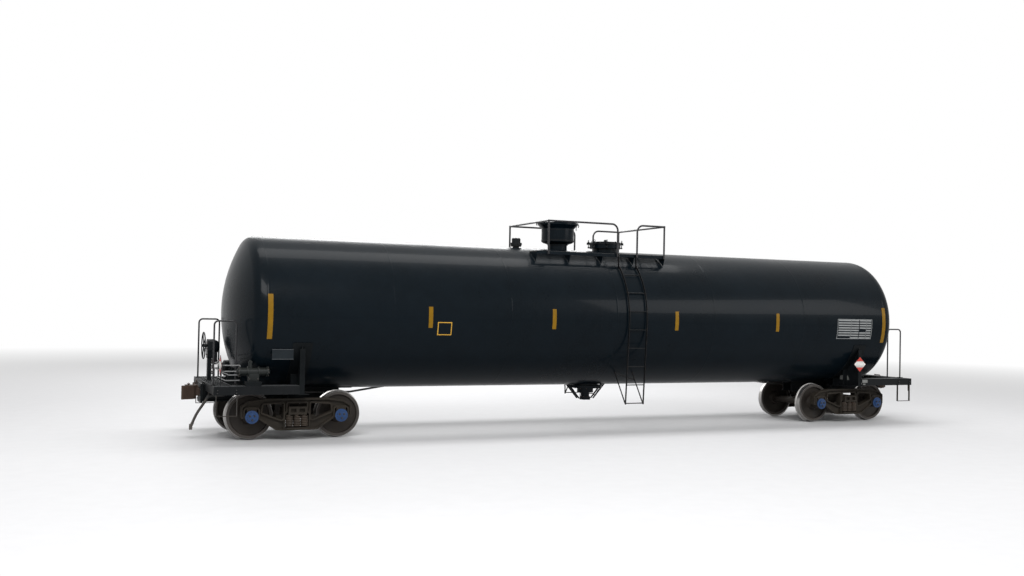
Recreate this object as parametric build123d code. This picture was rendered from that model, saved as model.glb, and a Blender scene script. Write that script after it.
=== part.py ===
from build123d import *
from math import atan2, cos, pi, radians, sin, sqrt, tan
import os

os.makedirs("parts", exist_ok=True)

# A stub-sill tank car on its own wheels, in millimetres. The origin is on the floor under the middle of
# the car, +X runs to the A end, -X to the brake end, -Y is the near side and +Z is up.

# Clearances
SEAT = 0.3
FREE = 6.0
JOURNAL_FIT = 0.05

# The whole car
TRUCK_CENTRES = 13940.0
PULLING_OVERHANG = 2075.0
SHELL_OVERHANG = 725.0
AXLE_SPACING = 1778.0

# Wheels, flange down on the floor
WHEEL_DIAMETER = 914.0
FLANGE_HEIGHT = 27.0
BACK_TO_BACK = 1353.0
RIM_WIDTH = 145.0
RIM_DEPTH = 62.0
WHEEL_WEB = 26.0
HUB_DIAMETER = 280.0
HUB_WIDTH = 178.0
AXLE_DIAMETER = 176.0
JOURNAL_DIAMETER = 157.0
JOURNAL_CENTRES = 2006.0
BEARING_DIAMETER = 250.0
BEARING_WIDTH = 180.0
END_CAP_DIAMETER = 256.0
END_CAP_HUB = 168.0
END_CAP_WIDTH = 46.0

# Truck castings
FRAME_TOP = 832.0
FRAME_BOTTOM = 205.0
FRAME_DEPTH = 170.0
FRAME_WEB = 56.0
FRAME_RIM = 30.0
FRAME_TOP_HALF = 600.0
FRAME_NOSE = 205.0
FRAME_CORNER = 34.0
PEDESTAL_FOOT = 455.0
ADAPTER_HEIGHT = 34.0
SPRING_SEAT_TOP = 262.0
BOLSTER_END_BOTTOM = 520.0
BOLSTER_TOP = 672.0
BOLSTER_WIDTH = 360.0
COLUMN_GAP = 10.0
SPRING_DIAMETER = 136.0
SPRING_PITCH = 148.0
CENTRE_PLATE_DIAMETER = 400.0
CENTRE_PLATE_HEIGHT = 48.0
BOWL_RIM = 27.0
SIDE_BEARING_Y = 635.0
SIDE_BEARING_HEIGHT = 95.0
BEAM_SETBACK = 545.0
BEAM_LOW = 400.0
BEAM_HIGH = 460.0

# Tank
TANK_RADIUS = 1560.0
HEAD_DEPTH = 600.0
HEAD_KNUCKLE = 275.0
PAD_PLATE = 12.0
SILL_TO_SKIN = 240.0

# Stub sill and head brace
SILL_WIDTH = 330.0
SILL_WEB = 14.0
SILL_FLANGE = 70.0
SILL_LAP = 100.0
SILL_BEHIND_TRUCK = 1070.0
SILL_PAD_WIDTH = 620.0
STRIKER_SETBACK = 325.0
STRIKER_PLATE = 40.0
STRIKER_WIDTH = 470.0
BRACE_GAP = 220.0
BRACE_HEIGHT = 490.0

# Body bolsters
BOLSTER_INSET = 28.0
BOLSTER_FLANGE = 100.0
BOLSTER_FOOT_WIDTH = 300.0
BOLSTER_KNEE_Y = 600.0
BOLSTER_KNEE_Z = 890.0
BOLSTER_PLATE = 14.0
SADDLE_WIDTH = 380.0
SADDLE_HEIGHT = 990.0
POST_HEIGHT = 870.0

# End decks and their steps and rails
DECK_ABOVE_COUPLER = 209.0
DECK_THICKNESS = 24.0
DECK_SETBACK = 80.0
CROSSOVER_LENGTH = 360.0
SIDE_DECK_WIDTH = 330.0
SIDE_SILL_INSET = 82.0
SIDE_SILL_HEIGHT = 140.0
SIDE_SILL_FLANGE = 70.0
SIDE_SILL_PLATE = 10.0
STEP_BOTTOM = 540.0
STEP_WIDTH = 400.0
STEP_BAR = 44.0
STEP_PLATE = 12.0
END_RAIL_TUBE = 34.0
END_RAIL_HEIGHT = 1238.0
END_RAIL_INSET = 368.0
END_RAIL_WIDTH = 420.0

# Brake gear
PIPE_DIAMETER = 42.0
PIPE_Y = 300.0
PIPE_CLAMPS = (-620.0, 930.0)
PIPE_HANGERS = (1300.0, 3600.0)
PIPE_BELOW_SKIN = 15.0
PIPE_BEND = 90.0
HAND_BRAKE_Y = 420.0
BRAKE_WHEEL_DIAMETER = 566.0
BRAKE_WHEEL_HEIGHT = 703.0
BRAKE_WHEEL_RIM = 26.0
VALVE_AHEAD = 905.0
VALVE_INSET = 243.0
VALVE_LENGTH = 550.0
RESERVOIR_AHEAD = 705.0
RESERVOIR_INSET = 205.0
RESERVOIR_DIAMETER = 340.0
RESERVOIR_LENGTH = 850.0

# Couplers
RAIL_TO_COUPLER = 876.0
COUPLER_PIVOT_SETBACK = 570.0
SHANK_WIDTH = 124.0
SHANK_HEIGHT = 150.0
COUPLER_HEAD_LENGTH = 265.0
COUPLER_HEAD_HEIGHT = 270.0
KNUCKLE_HEIGHT = 230.0
KNUCKLE_PIN = 41.0
KNUCKLE_PIN_SETBACK = 135.0
KNUCKLE_PIN_Y = -125.0
LEVER_BAR = 24.0
LEVER_BEND = 40.0

# Top fittings, by their centres along the car and their heights over the tank's top line
SAFETY_VALVE_X = -1810.0
SAFETY_VALVE_HEIGHT = 210.0
HOUSING_X = -757.0
HOUSING_DIAMETER = 750.0
HOUSING_LID_DIAMETER = 960.0
HOUSING_FLARE = 110.0
HOUSING_NECK = 440.0
HOUSING_NECK_HEIGHT = 150.0
HOUSING_HEIGHT = 440.0
HOUSING_WALL = 10.0
MANWAY_X = 500.0
MANWAY_NECK = 590.0
MANWAY_NECK_WALL = 22.0
MANWAY_NECK_HEIGHT = 160.0
MANWAY_FLANGE = 90.0
MANWAY_COVER_DIAMETER = 760.0
MANWAY_COVER_PLATE = 50.0
MANWAY_LUG_HEIGHT = 74.0
MANWAY_BOLTS = 8
MANWAY_ARM = 60.0
MANWAY_HINGE_PIN = 24.0
LID_HINGE_PIN = 20.0
LID_ARM = 70.0
OUTLET_X = 35.0
OUTLET_SAUCER = 780.0
OUTLET_NECK = 200.0
OUTLET_DEPTH = 360.0

# Top platform and ladders
PLATFORM_LEFT = -1770.0
PLATFORM_RIGHT = 1500.0
PLATFORM_HALF_WIDTH = 1042.0
PLATFORM_BELOW_TOP = 96.0
EDGE_ANGLE = 64.0
ANGLE_PLATE = 8.0
GRATING_DEPTH = 26.0
GRATING_WIDTH = 400.0
RAIL_TUBE = 42.0
RAIL_HEIGHT = 668.0
RAIL_BEND = 150.0
RAIL_LEFT = -1500.0
RAIL_RIGHT = 1469.0
LADDER_LEFT = 262.0
LADDER_RIGHT = 725.0
LADDER_STAND_OFF = 20.0
LADDER_FOOT_INSET = 45.0
LADDER_FOOT = 610.0
LADDER_BAR = 50.0
LADDER_PLATE = 10.0
RUNG_DIAMETER = 22.0
RUNG_PITCH = 410.0

# Places that follow from these sizes
WHEEL_RADIUS = WHEEL_DIAMETER / 2
FLANGE_RADIUS = WHEEL_RADIUS + FLANGE_HEIGHT
AXLE_HEIGHT = FLANGE_RADIUS
TRUCK_X = TRUCK_CENTRES / 2
PULLING_X = TRUCK_X + PULLING_OVERHANG
COUPLER_HEIGHT = FLANGE_HEIGHT + RAIL_TO_COUPLER
SILL_BOTTOM = BOLSTER_TOP + CENTRE_PLATE_HEIGHT
TANK_BOTTOM = SILL_BOTTOM + SILL_TO_SKIN
TANK_AXIS_HEIGHT = TANK_BOTTOM + TANK_RADIUS
TANK_TOP = TANK_AXIS_HEIGHT + TANK_RADIUS
SHELL_HALF = TRUCK_X + SHELL_OVERHANG
SILL_TOP = TANK_BOTTOM + SILL_LAP
SILL_INNER_X = TRUCK_X - SILL_BEHIND_TRUCK
BRACE_TOP = TANK_BOTTOM + BRACE_HEIGHT
STRIKER_X = PULLING_X - STRIKER_SETBACK
DECK_END_X = STRIKER_X - DECK_SETBACK
DECK_BACK_X = DECK_END_X - CROSSOVER_LENGTH
DECK_TOP = COUPLER_HEIGHT + DECK_ABOVE_COUPLER
SIDE_SILL_BOTTOM = DECK_TOP - DECK_THICKNESS - SIDE_SILL_HEIGHT
SIDE_SILL_Y = TANK_RADIUS - SIDE_SILL_INSET
BOLSTER_HALF_WIDTH = SIDE_SILL_Y - BOLSTER_INSET
END_RAIL_Y = SIDE_SILL_Y - END_RAIL_INSET
VALVE_Y = VALVE_INSET - SIDE_SILL_Y
RESERVOIR_Y = SIDE_SILL_Y - RESERVOIR_INSET
BOLSTER_FOOT = SIDE_SILL_BOTTOM - SEAT - BOLSTER_PLATE
SADDLE_TOP = TANK_BOTTOM + SADDLE_HEIGHT
POST_TOP = TANK_BOTTOM + POST_HEIGHT
COUPLER_PIVOT_X = STRIKER_X - COUPLER_PIVOT_SETBACK
HEAD_BACK_X = PULLING_X - COUPLER_HEAD_LENGTH
KNUCKLE_PIN_X = PULLING_X - KNUCKLE_PIN_SETBACK
PIPE_Z = SILL_BOTTOM + SILL_TO_SKIN / 2 + 45
PIPE_MIDDLE_Y = OUTLET_SAUCER / 2 + 50
PIPE_MIDDLE_Z = TANK_BOTTOM - PIPE_BELOW_SKIN
BRAKE_WHEEL_Z = DECK_TOP + BRAKE_WHEEL_HEIGHT
BRAKE_WHEEL_X = 40 - DECK_END_X
HOUSING_FLOOR = TANK_TOP + HOUSING_NECK_HEIGHT
HOUSING_TOP = HOUSING_FLOOR + HOUSING_HEIGHT
MANWAY_RIM = TANK_TOP + MANWAY_NECK_HEIGHT
MANWAY_HINGE_Y = MANWAY_COVER_DIAMETER / 2 + 90
MANWAY_HINGE_Z = MANWAY_RIM + SEAT + MANWAY_COVER_PLATE / 2
LID_HINGE_Y = HOUSING_LID_DIAMETER / 2 + 40
LID_HINGE_Z = HOUSING_TOP + SEAT + 10
PLATFORM_Z = TANK_TOP - PLATFORM_BELOW_TOP
RAIL_TOP = PLATFORM_Z + RAIL_HEIGHT
RAIL_FOOT = PLATFORM_Z - GRATING_DEPTH - EDGE_ANGLE + 20
LADDER_FOOT_Y = TANK_RADIUS - LADDER_FOOT_INSET

# Air hoses
HOSE_DIAMETER = 54.0
HOSE_Y = 330.0
COCK_LENGTH = 62.0
HOSE_TOP_X = DECK_END_X - 30
HOSE_TOP_Z = COUPLER_HEIGHT - 113
HOSE_DROPS = [(0, 0, 0), (78, 0, -122), (158, -2, -242), (222, -6, -360), (264, -12, -472)]
HOSE_ROUTE = [(HOSE_TOP_X + dx, HOSE_Y + dy, HOSE_TOP_Z + dz) for dx, dy, dz in HOSE_DROPS]

# Small helpers


def block(x0, x1, y0, y1, z0, z1):
    """A rectangular block between two corners."""
    return Pos((x0 + x1) / 2, (y0 + y1) / 2, (z0 + z1) / 2) * Box(x1 - x0, y1 - y0, z1 - z0)


def rod(start, end, radius):
    """A round bar from one point to another."""
    run = Vector(*end) - Vector(*start)
    return extrude(Plane(origin=start, z_dir=run) * Circle(radius), run.length)


def tube(points, radius, bend):
    """A bent round bar through the points, with one bend radius or a list of them."""
    path = FilletPolyline(*points, radius=bend)
    return sweep(Plane(origin=path @ 0, z_dir=path % 0) * Circle(radius), path=path)


def profile_xz(points, y0, y1):
    """A polygon drawn on X and Z, as thick as y0 to y1."""
    face = Plane.XZ.offset(-y1) * make_face(Polyline(*points, close=True))
    return extrude(face, y1 - y0)


def profile_yz(points, x0, x1):
    """A polygon drawn on Y and Z, as thick as x0 to x1."""
    face = Plane.YZ.offset(x0) * make_face(Polyline(*points, close=True))
    return extrude(face, x1 - x0)


def profile_xy(points, z0, z1):
    """A polygon drawn on X and Y, as thick as z0 to z1."""
    face = Plane.XY.offset(z0) * make_face(Polyline(*points, close=True))
    return extrude(face, z1 - z0)


def rounded(face, radius):
    """A flat face with all its corners rounded, as a casting's are."""
    return fillet(face.vertices(), radius)


def joined(pieces):
    """The pieces fused into as few solids as they make."""
    pieces = list(pieces)
    result = pieces[0]
    for piece in pieces[1:]:
        result = result + piece
    return result


def both_sides(piece):
    """A piece and its mirror image across the car's middle plane."""
    return [piece, mirror(piece, about=Plane.XZ)]


def other_end(piece):
    """A piece of the A end, mirrored to the brake end."""
    return mirror(piece, about=Plane.YZ)


def turned_end(piece):
    """A piece of the A end, turned half round to the brake end."""
    return Rot(0, 0, 180) * piece


def tank_half_width(z):
    """How far the tank's shell reaches sideways at a height."""
    return sqrt(TANK_RADIUS ** 2 - (z - TANK_AXIS_HEIGHT) ** 2)


def tank_height(y):
    """The height of the shell's upper surface at a distance from the middle plane."""
    return TANK_AXIS_HEIGHT + sqrt(TANK_RADIUS ** 2 - y ** 2)


# Tank


def tank_solid(grow=0.0):
    """The shell with its two dished heads, larger all round by grow."""
    radius = TANK_RADIUS + grow
    depth = HEAD_DEPTH + grow
    knuckle = HEAD_KNUCKLE + grow
    crown = (depth ** 2 + (radius - knuckle) ** 2 - knuckle ** 2) / (2 * (depth - knuckle))
    tip = SHELL_HALF + depth
    knuckle_y = radius - knuckle
    turn = atan2(knuckle_y, crown - depth)
    meet = (tip - crown + crown * cos(turn), crown * sin(turn))
    middle = (SHELL_HALF + knuckle * cos(pi / 4 + turn / 2), knuckle_y + knuckle * sin(pi / 4 + turn / 2))
    high = (tip - crown + crown * cos(turn / 2), crown * sin(turn / 2))
    edges = [
        Line((0, 0), (0, radius)),
        Line((0, radius), (SHELL_HALF, radius)),
        ThreePointArc((SHELL_HALF, radius), middle, meet),
        ThreePointArc(meet, high, (tip, 0)),
        Line((tip, 0), (0, 0)),
    ]
    half = Pos(0, 0, TANK_AXIS_HEIGHT) * revolve(make_face(edges), Axis.X)
    return half + mirror(half, about=Plane.YZ)


def pad_shell():
    """The layer of doubler plate all over the tank, from which the pads are cut."""
    return tank_solid(SEAT + PAD_PLATE) - tank_solid(SEAT)


TANK_CLEAR = tank_solid(SEAT)
PAD_CLEAR = tank_solid(2 * SEAT + PAD_PLATE)
PAD_LAYER = pad_shell()


# Running gear


def wheel():
    """One wheel with its hub, on the Y axis, its back face at y = 0 and its outer face at +Y."""
    throat = 40.0
    hub_in = (RIM_WIDTH - HUB_WIDTH) / 2
    hub_out = hub_in + HUB_WIDTH
    web_in = RIM_WIDTH / 2 - WHEEL_WEB / 2
    web_out = RIM_WIDTH / 2 + WHEEL_WEB / 2
    inside = WHEEL_RADIUS - RIM_DEPTH
    taper = (RIM_WIDTH - throat) / 20
    outline = [
        (0, inside),
        (0, FLANGE_RADIUS - 12),
        (7, FLANGE_RADIUS),
        (20, FLANGE_RADIUS),
        (32, WHEEL_RADIUS + 6),
        (throat, WHEEL_RADIUS),
        (RIM_WIDTH, WHEEL_RADIUS - taper),
        (RIM_WIDTH, inside),
        (web_out + 10, inside - 12),
        (web_out, HUB_DIAMETER / 2 + 40),
        (hub_out, HUB_DIAMETER / 2),
        (hub_out, 0),
        (hub_in, 0),
        (hub_in, HUB_DIAMETER / 2),
        (web_in - 4, HUB_DIAMETER / 2 + 40),
        (web_in + 6, inside - 12),
    ]
    section = Plane(origin=(0, 0, 0), x_dir=(0, 1, 0), z_dir=(1, 0, 0)) * make_face(Polyline(*outline, close=True))
    return revolve(section, Axis.Y)


def wheelset(x):
    """An axle and the two wheels pressed on it, at a place along the car."""
    face = BACK_TO_BACK / 2
    seat_end = face + RIM_WIDTH / 2 + HUB_WIDTH / 2
    bore = rod((0, -seat_end - 1, 0), (0, seat_end + 1, 0), AXLE_DIAMETER / 2 + JOURNAL_FIT)
    right = Pos(0, face, 0) * wheel() - bore
    left = mirror(right, about=Plane.XZ)
    journal_end = JOURNAL_CENTRES / 2 + BEARING_WIDTH / 2 + FREE
    axle = rod((0, -seat_end, 0), (0, seat_end, 0), AXLE_DIAMETER / 2)
    axle += rod((0, -journal_end, 0), (0, journal_end, 0), JOURNAL_DIAMETER / 2)
    return Pos(x, 0, AXLE_HEIGHT) * Compound(children=[right, left, axle])


def end_caps(x):
    """The two turning caps on the ends of an axle."""
    inner = JOURNAL_CENTRES / 2 + BEARING_WIDTH / 2 + FREE + SEAT
    cap = rod((0, inner, 0), (0, inner + END_CAP_WIDTH / 2, 0), END_CAP_DIAMETER / 2)
    cap += rod((0, inner, 0), (0, inner + END_CAP_WIDTH, 0), END_CAP_HUB / 2)
    return Pos(x, 0, AXLE_HEIGHT) * Compound(children=both_sides(cap))


def bearings(x):
    """The four bearing cups of a truck with the adapters that carry the side frames."""
    inner = JOURNAL_CENTRES / 2 - BEARING_WIDTH / 2
    outer = JOURNAL_CENTRES / 2 + BEARING_WIDTH / 2
    adapter_top = BEARING_DIAMETER / 2 + ADAPTER_HEIGHT
    cup = rod((0, inner, 0), (0, outer, 0), BEARING_DIAMETER / 2)
    cup += block(-95, 95, inner + 8, outer - 8, BEARING_DIAMETER / 4, adapter_top)
    cup -= rod((0, inner - 1, 0), (0, outer + 1, 0), JOURNAL_DIAMETER / 2 + JOURNAL_FIT)
    cups = []
    for along in (-AXLE_SPACING / 2, AXLE_SPACING / 2):
        cups += both_sides(Pos(x + along, 0, AXLE_HEIGHT) * cup)
    return Compound(children=cups)


def side_frame():
    """The near side frame of a truck, about the truck's own middle."""
    half = AXLE_SPACING / 2
    roof = AXLE_HEIGHT + BEARING_DIAMETER / 2 + ADAPTER_HEIGHT + SEAT
    jaw = BEARING_DIAMETER / 2 + FREE
    column = BOLSTER_WIDTH / 2 + COLUMN_GAP
    nose = half + FRAME_NOSE
    outline = [
        (-FRAME_TOP_HALF, FRAME_TOP),
        (FRAME_TOP_HALF, FRAME_TOP),
        (half + 60, FRAME_TOP - 52),
        (nose, FRAME_TOP - 150),
        (nose, PEDESTAL_FOOT),
        (half + jaw, PEDESTAL_FOOT),
        (half + jaw, roof - 30),
        (half + jaw - 30, roof),
        (half - jaw + 30, roof),
        (half - jaw, roof - 30),
        (half - jaw, PEDESTAL_FOOT - 10),
        (half - jaw - 45, PEDESTAL_FOOT - 40),
        (420, FRAME_BOTTOM + 10),
        (330, FRAME_BOTTOM),
    ]
    mirrored = [(-px, pz) for px, pz in reversed(outline[1:])]
    body = rounded(make_face(Polyline(*outline[1:], *mirrored, close=True)), FRAME_CORNER / 2)
    opening = make_face(Polyline(
        (-column, FRAME_TOP - 95), (column, FRAME_TOP - 95), (column, BOLSTER_END_BOTTOM + 45),
        (column + 45, BOLSTER_END_BOTTOM + 5), (column + 45, SPRING_SEAT_TOP),
        (-column - 45, SPRING_SEAT_TOP), (-column - 45, BOLSTER_END_BOTTOM + 5),
        (-column, BOLSTER_END_BOTTOM + 45), close=True))
    window = make_face(Polyline(
        (column + 78, FRAME_TOP - 92), (half - jaw - 90, FRAME_TOP - 120), (half - jaw - 70, roof - 80),
        (column + 110, BOLSTER_END_BOTTOM - 110), (column + 78, BOLSTER_END_BOTTOM - 60), close=True))
    window = rounded(window, 24)
    windows = [window, mirror(window, about=Plane.YZ)]
    plate = body - opening - windows[0] - windows[1]
    pocket = offset(body, -FRAME_RIM) - offset(opening, FRAME_RIM)
    for each in windows:
        pocket -= offset(each, FRAME_RIM)
    rim = Plane.XZ * (plate - pocket)
    depth = FRAME_DEPTH / 2
    frame = extrude(Plane.XZ * plate, FRAME_WEB / 2, both=True)
    frame += extrude(rim, depth, both=True)
    seat_half = SPRING_PITCH + SPRING_DIAMETER / 2
    seat_depth = SPRING_PITCH / 2 + SPRING_DIAMETER / 2
    frame += block(-seat_half, seat_half, -seat_depth, seat_depth, SPRING_SEAT_TOP - 36, SPRING_SEAT_TOP)
    for side in (-1, 1):
        guide_x = side * (half - BEAM_SETBACK)
        frame += block(guide_x - 55, guide_x + 55, FRAME_WEB / 2 - 1, depth - 15, BEAM_LOW - 30, BEAM_HIGH + 30)
        frame -= block(guide_x - 30 - SEAT, guide_x + 30 + SEAT, FRAME_WEB / 2 + 12, depth, BEAM_LOW - SEAT, BEAM_HIGH + SEAT)
    return Pos(0, -JOURNAL_CENTRES / 2, 0) * frame


def side_frames(x):
    """The two side frames of a truck."""
    return Compound(children=[Pos(x, 0, 0) * piece for piece in both_sides(side_frame())])


def springs(x):
    """The spring groups of a truck, under both ends of its bolster."""
    bottom = SPRING_SEAT_TOP + SEAT
    height = BOLSTER_END_BOTTOM - SEAT - bottom
    coils = 4
    pitch = height / coils
    outer = SPRING_DIAMETER / 2
    inner = outer - 18
    outline = [(0, 0)]
    for coil in range(coils):
        low = coil * pitch
        outline += [(inner, low), (outer, low + pitch * 0.5)]
    outline += [(inner, height), (0, height)]
    section = Plane.XZ * make_face(Polyline(*outline, close=True))
    coil_spring = revolve(section, Axis.Z)
    group = []
    for along in (-SPRING_PITCH, 0, SPRING_PITCH):
        for across in (-0.5, 0.5):
            place = Pos(x + along, JOURNAL_CENTRES / 2 + across * SPRING_PITCH, bottom)
            group += both_sides(place * coil_spring)
    return Compound(children=group)


def truck_bolster(x):
    """The cast cross bolster with its centre bowl and side bearings."""
    end = JOURNAL_CENTRES / 2 + SPRING_PITCH
    spring_side = JOURNAL_CENTRES / 2 - SPRING_PITCH / 2 - SPRING_DIAMETER / 2 - FREE
    outline = [
        (0, BOLSTER_TOP), (end, BOLSTER_TOP), (end, BOLSTER_END_BOTTOM), (spring_side, BOLSTER_END_BOTTOM),
        (420, 380), (0, 360),
    ]
    mirrored = [(-py, pz) for py, pz in reversed(outline[1:-1])]
    half = BOLSTER_WIDTH / 2
    beam = profile_yz(outline + mirrored, -half, half)
    for side in (-1, 1):
        beam -= block(-half - 1, half + 1, *sorted((side * 250, side * 520)), 440, 600)
        for along in (-85, 85):
            low, high = sorted((side * (end - 60), side * (end + 1)))
            beam -= block(along - 55, along + 55, low, high, BOLSTER_END_BOTTOM + 40, BOLSTER_TOP - 36)
        beam += block(-110, 110, *sorted((side * (SIDE_BEARING_Y - 55), side * (SIDE_BEARING_Y + 55))),
                      BOLSTER_TOP, BOLSTER_TOP + SIDE_BEARING_HEIGHT)
    bowl_outer = CENTRE_PLATE_DIAMETER / 2 + FREE + 24
    bowl = Cylinder(bowl_outer, BOWL_RIM) - Cylinder(CENTRE_PLATE_DIAMETER / 2 + FREE, BOWL_RIM)
    beam += Pos(0, 0, BOLSTER_TOP + BOWL_RIM / 2) * bowl
    return Pos(x, 0, 0) * beam


def brake_beams(x):
    """The two brake beams of a truck, each with its shoes just off the treads."""
    wheel_y = BACK_TO_BACK / 2 + RIM_WIDTH / 2 + 6
    beams = []
    for side in (-1, 1):
        axle_x = side * AXLE_SPACING / 2
        shoe = profile_xz([(axle_x - side * 560, 330), (axle_x - side * 380, 300),
                           (axle_x - side * 380, 560), (axle_x - side * 500, 540)], wheel_y - 42, wheel_y + 42)
        clear = rod((axle_x, -wheel_y - 50, AXLE_HEIGHT), (axle_x, wheel_y + 50, AXLE_HEIGHT), FLANGE_RADIUS + 2 * FREE)
        shoe -= clear
        bar_x = axle_x - side * BEAM_SETBACK
        reach = JOURNAL_CENTRES / 2 - FRAME_WEB / 2 - 12 - SEAT
        bar = block(bar_x - 30, bar_x + 30, -reach, reach, BEAM_LOW, BEAM_HIGH)
        strut = profile_xy([(bar_x, -wheel_y + 60), (bar_x, wheel_y - 60), (bar_x - side * 90, 0)], 415, 445)
        strut -= profile_xy([(bar_x, -wheel_y + 190), (bar_x, wheel_y - 190), (bar_x - side * 60, 0)], 414, 446)
        beam = joined([bar, strut, shoe, mirror(shoe, about=Plane.XZ)])
        beams.append(Pos(x, 0, 0) * beam)
    return Compound(children=beams)


# Underframe of the A end, mirrored to the other end


def stub_sill():
    """The stub sill with its pad on the tank, centre plate, striker and head brace."""
    half = SILL_WIDTH / 2
    striker_back = STRIKER_X - STRIKER_PLATE
    brace_start = TRUCK_X + 330
    brace_end = DECK_BACK_X - 10
    brace_outline = [(brace_start, SILL_TOP - 20), (brace_end, SILL_TOP - 20),
                     (brace_end - 200, BRACE_TOP), (brace_start, BRACE_TOP)]
    pieces = []
    for side in (-1, 1):
        low, high = sorted((side * (half - SILL_WEB), side * half))
        pieces.append(block(SILL_INNER_X, striker_back, low, high, SILL_BOTTOM, SILL_TOP))
        low, high = sorted((side * (half - SILL_WEB), side * (half + SILL_FLANGE)))
        pieces.append(block(SILL_INNER_X, striker_back, low, high, SILL_BOTTOM, SILL_BOTTOM + SILL_WEB))
        low, high = sorted((side * BRACE_GAP / 2, side * (BRACE_GAP / 2 + SILL_WEB)))
        pieces.append(profile_xz(brace_outline, low, high))
    pieces.append(block(TRUCK_X, striker_back, -half, half, SILL_TOP - SILL_WEB, SILL_TOP))
    pieces.append(block(TRUCK_X - 330, TRUCK_X + 330, -half, half, SILL_BOTTOM, SILL_BOTTOM + SILL_WEB))
    pieces.append(block(brace_end - 240, brace_end - 240 + SILL_WEB, -BRACE_GAP / 2, BRACE_GAP / 2, SILL_TOP - 1, BRACE_TOP - 150))
    sill = joined(pieces) - PAD_CLEAR
    pad_zone = block(SILL_INNER_X - 250, brace_end - 190, -SILL_PAD_WIDTH / 2, SILL_PAD_WIDTH / 2, 0, BRACE_TOP)
    pad = PAD_LAYER & pad_zone
    plate_height = CENTRE_PLATE_HEIGHT - SEAT
    sill += Pos(TRUCK_X, 0, SILL_BOTTOM - plate_height / 2) * Cylinder(CENTRE_PLATE_DIAMETER / 2, plate_height)
    opening_low = COUPLER_HEIGHT - SHANK_HEIGHT / 2 - SEAT
    opening_high = COUPLER_HEIGHT + SHANK_HEIGHT / 2 + 3 * FREE
    striker = block(striker_back, STRIKER_X, -STRIKER_WIDTH / 2, STRIKER_WIDTH / 2, SILL_BOTTOM - 20, SILL_TOP + 20)
    striker -= block(striker_back - 1, STRIKER_X + 1, -half + SILL_WEB, half - SILL_WEB, opening_low, opening_high)
    sill += striker
    return Compound(children=[*sill.solids(), *pad.solids()])


def body_bolster():
    """The two wings of the bolster that cradles the tank over a truck."""
    inner = SILL_WIDTH / 2 + SEAT
    outer = BOLSTER_HALF_WIDTH
    plate = BOLSTER_PLATE
    foot_line = [(inner, SILL_BOTTOM), (BOLSTER_KNEE_Y, BOLSTER_KNEE_Z), (outer, BOLSTER_FOOT)]
    wing_outline = [*foot_line, (outer, POST_TOP), (outer - 25, SADDLE_TOP), (inner, SADDLE_TOP)]
    web = profile_yz(wing_outline, TRUCK_X - plate / 2, TRUCK_X + plate / 2)
    foot_outline = [*foot_line, (outer, BOLSTER_FOOT + plate), (BOLSTER_KNEE_Y - 2, BOLSTER_KNEE_Z + plate),
                    (inner, SILL_BOTTOM + plate)]
    foot = profile_yz(foot_outline, TRUCK_X - BOLSTER_FOOT_WIDTH / 2, TRUCK_X + BOLSTER_FOOT_WIDTH / 2)
    flange = BOLSTER_FLANGE / 2
    post = block(TRUCK_X - flange, TRUCK_X + flange, outer, outer + plate, BOLSTER_FOOT, POST_TOP)
    ribs = [block(TRUCK_X - 130, TRUCK_X + 130, y, y + plate, BOLSTER_KNEE_Z + plate + 1, TANK_BOTTOM + 540)
            for y in (SIDE_BEARING_Y, outer - 450)]
    wing = joined([web, foot, post, *ribs]) - PAD_CLEAR
    reach = BOLSTER_FOOT_WIDTH
    wing -= block(TRUCK_X - reach, TRUCK_X + reach, -inner, inner, 0, SADDLE_TOP + 1)
    flange_y = SILL_WIDTH / 2 + SILL_FLANGE + SEAT
    wing -= block(TRUCK_X - reach, TRUCK_X + reach, 0, flange_y, 0, SILL_BOTTOM + SILL_WEB + SEAT)
    wing -= rod((TRUCK_X - reach, PIPE_Y, PIPE_Z), (TRUCK_X + reach, PIPE_Y, PIPE_Z), PIPE_DIAMETER / 2 + 12)
    wing += block(TRUCK_X - 110, TRUCK_X + 110, SIDE_BEARING_Y - 60, SIDE_BEARING_Y + 60,
                  BOLSTER_TOP + SIDE_BEARING_HEIGHT + FREE, BOLSTER_KNEE_Z + 10)
    pad_low = SILL_PAD_WIDTH / 2 + SEAT
    pad_zone = block(TRUCK_X - SADDLE_WIDTH / 2, TRUCK_X + SADDLE_WIDTH / 2, pad_low, TANK_RADIUS + 100, 0, SADDLE_TOP)
    pad = PAD_LAYER & pad_zone
    solids = []
    for piece in (*wing.solids(), *pad.solids()):
        solids += both_sides(piece)
    return Compound(children=solids)


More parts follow.
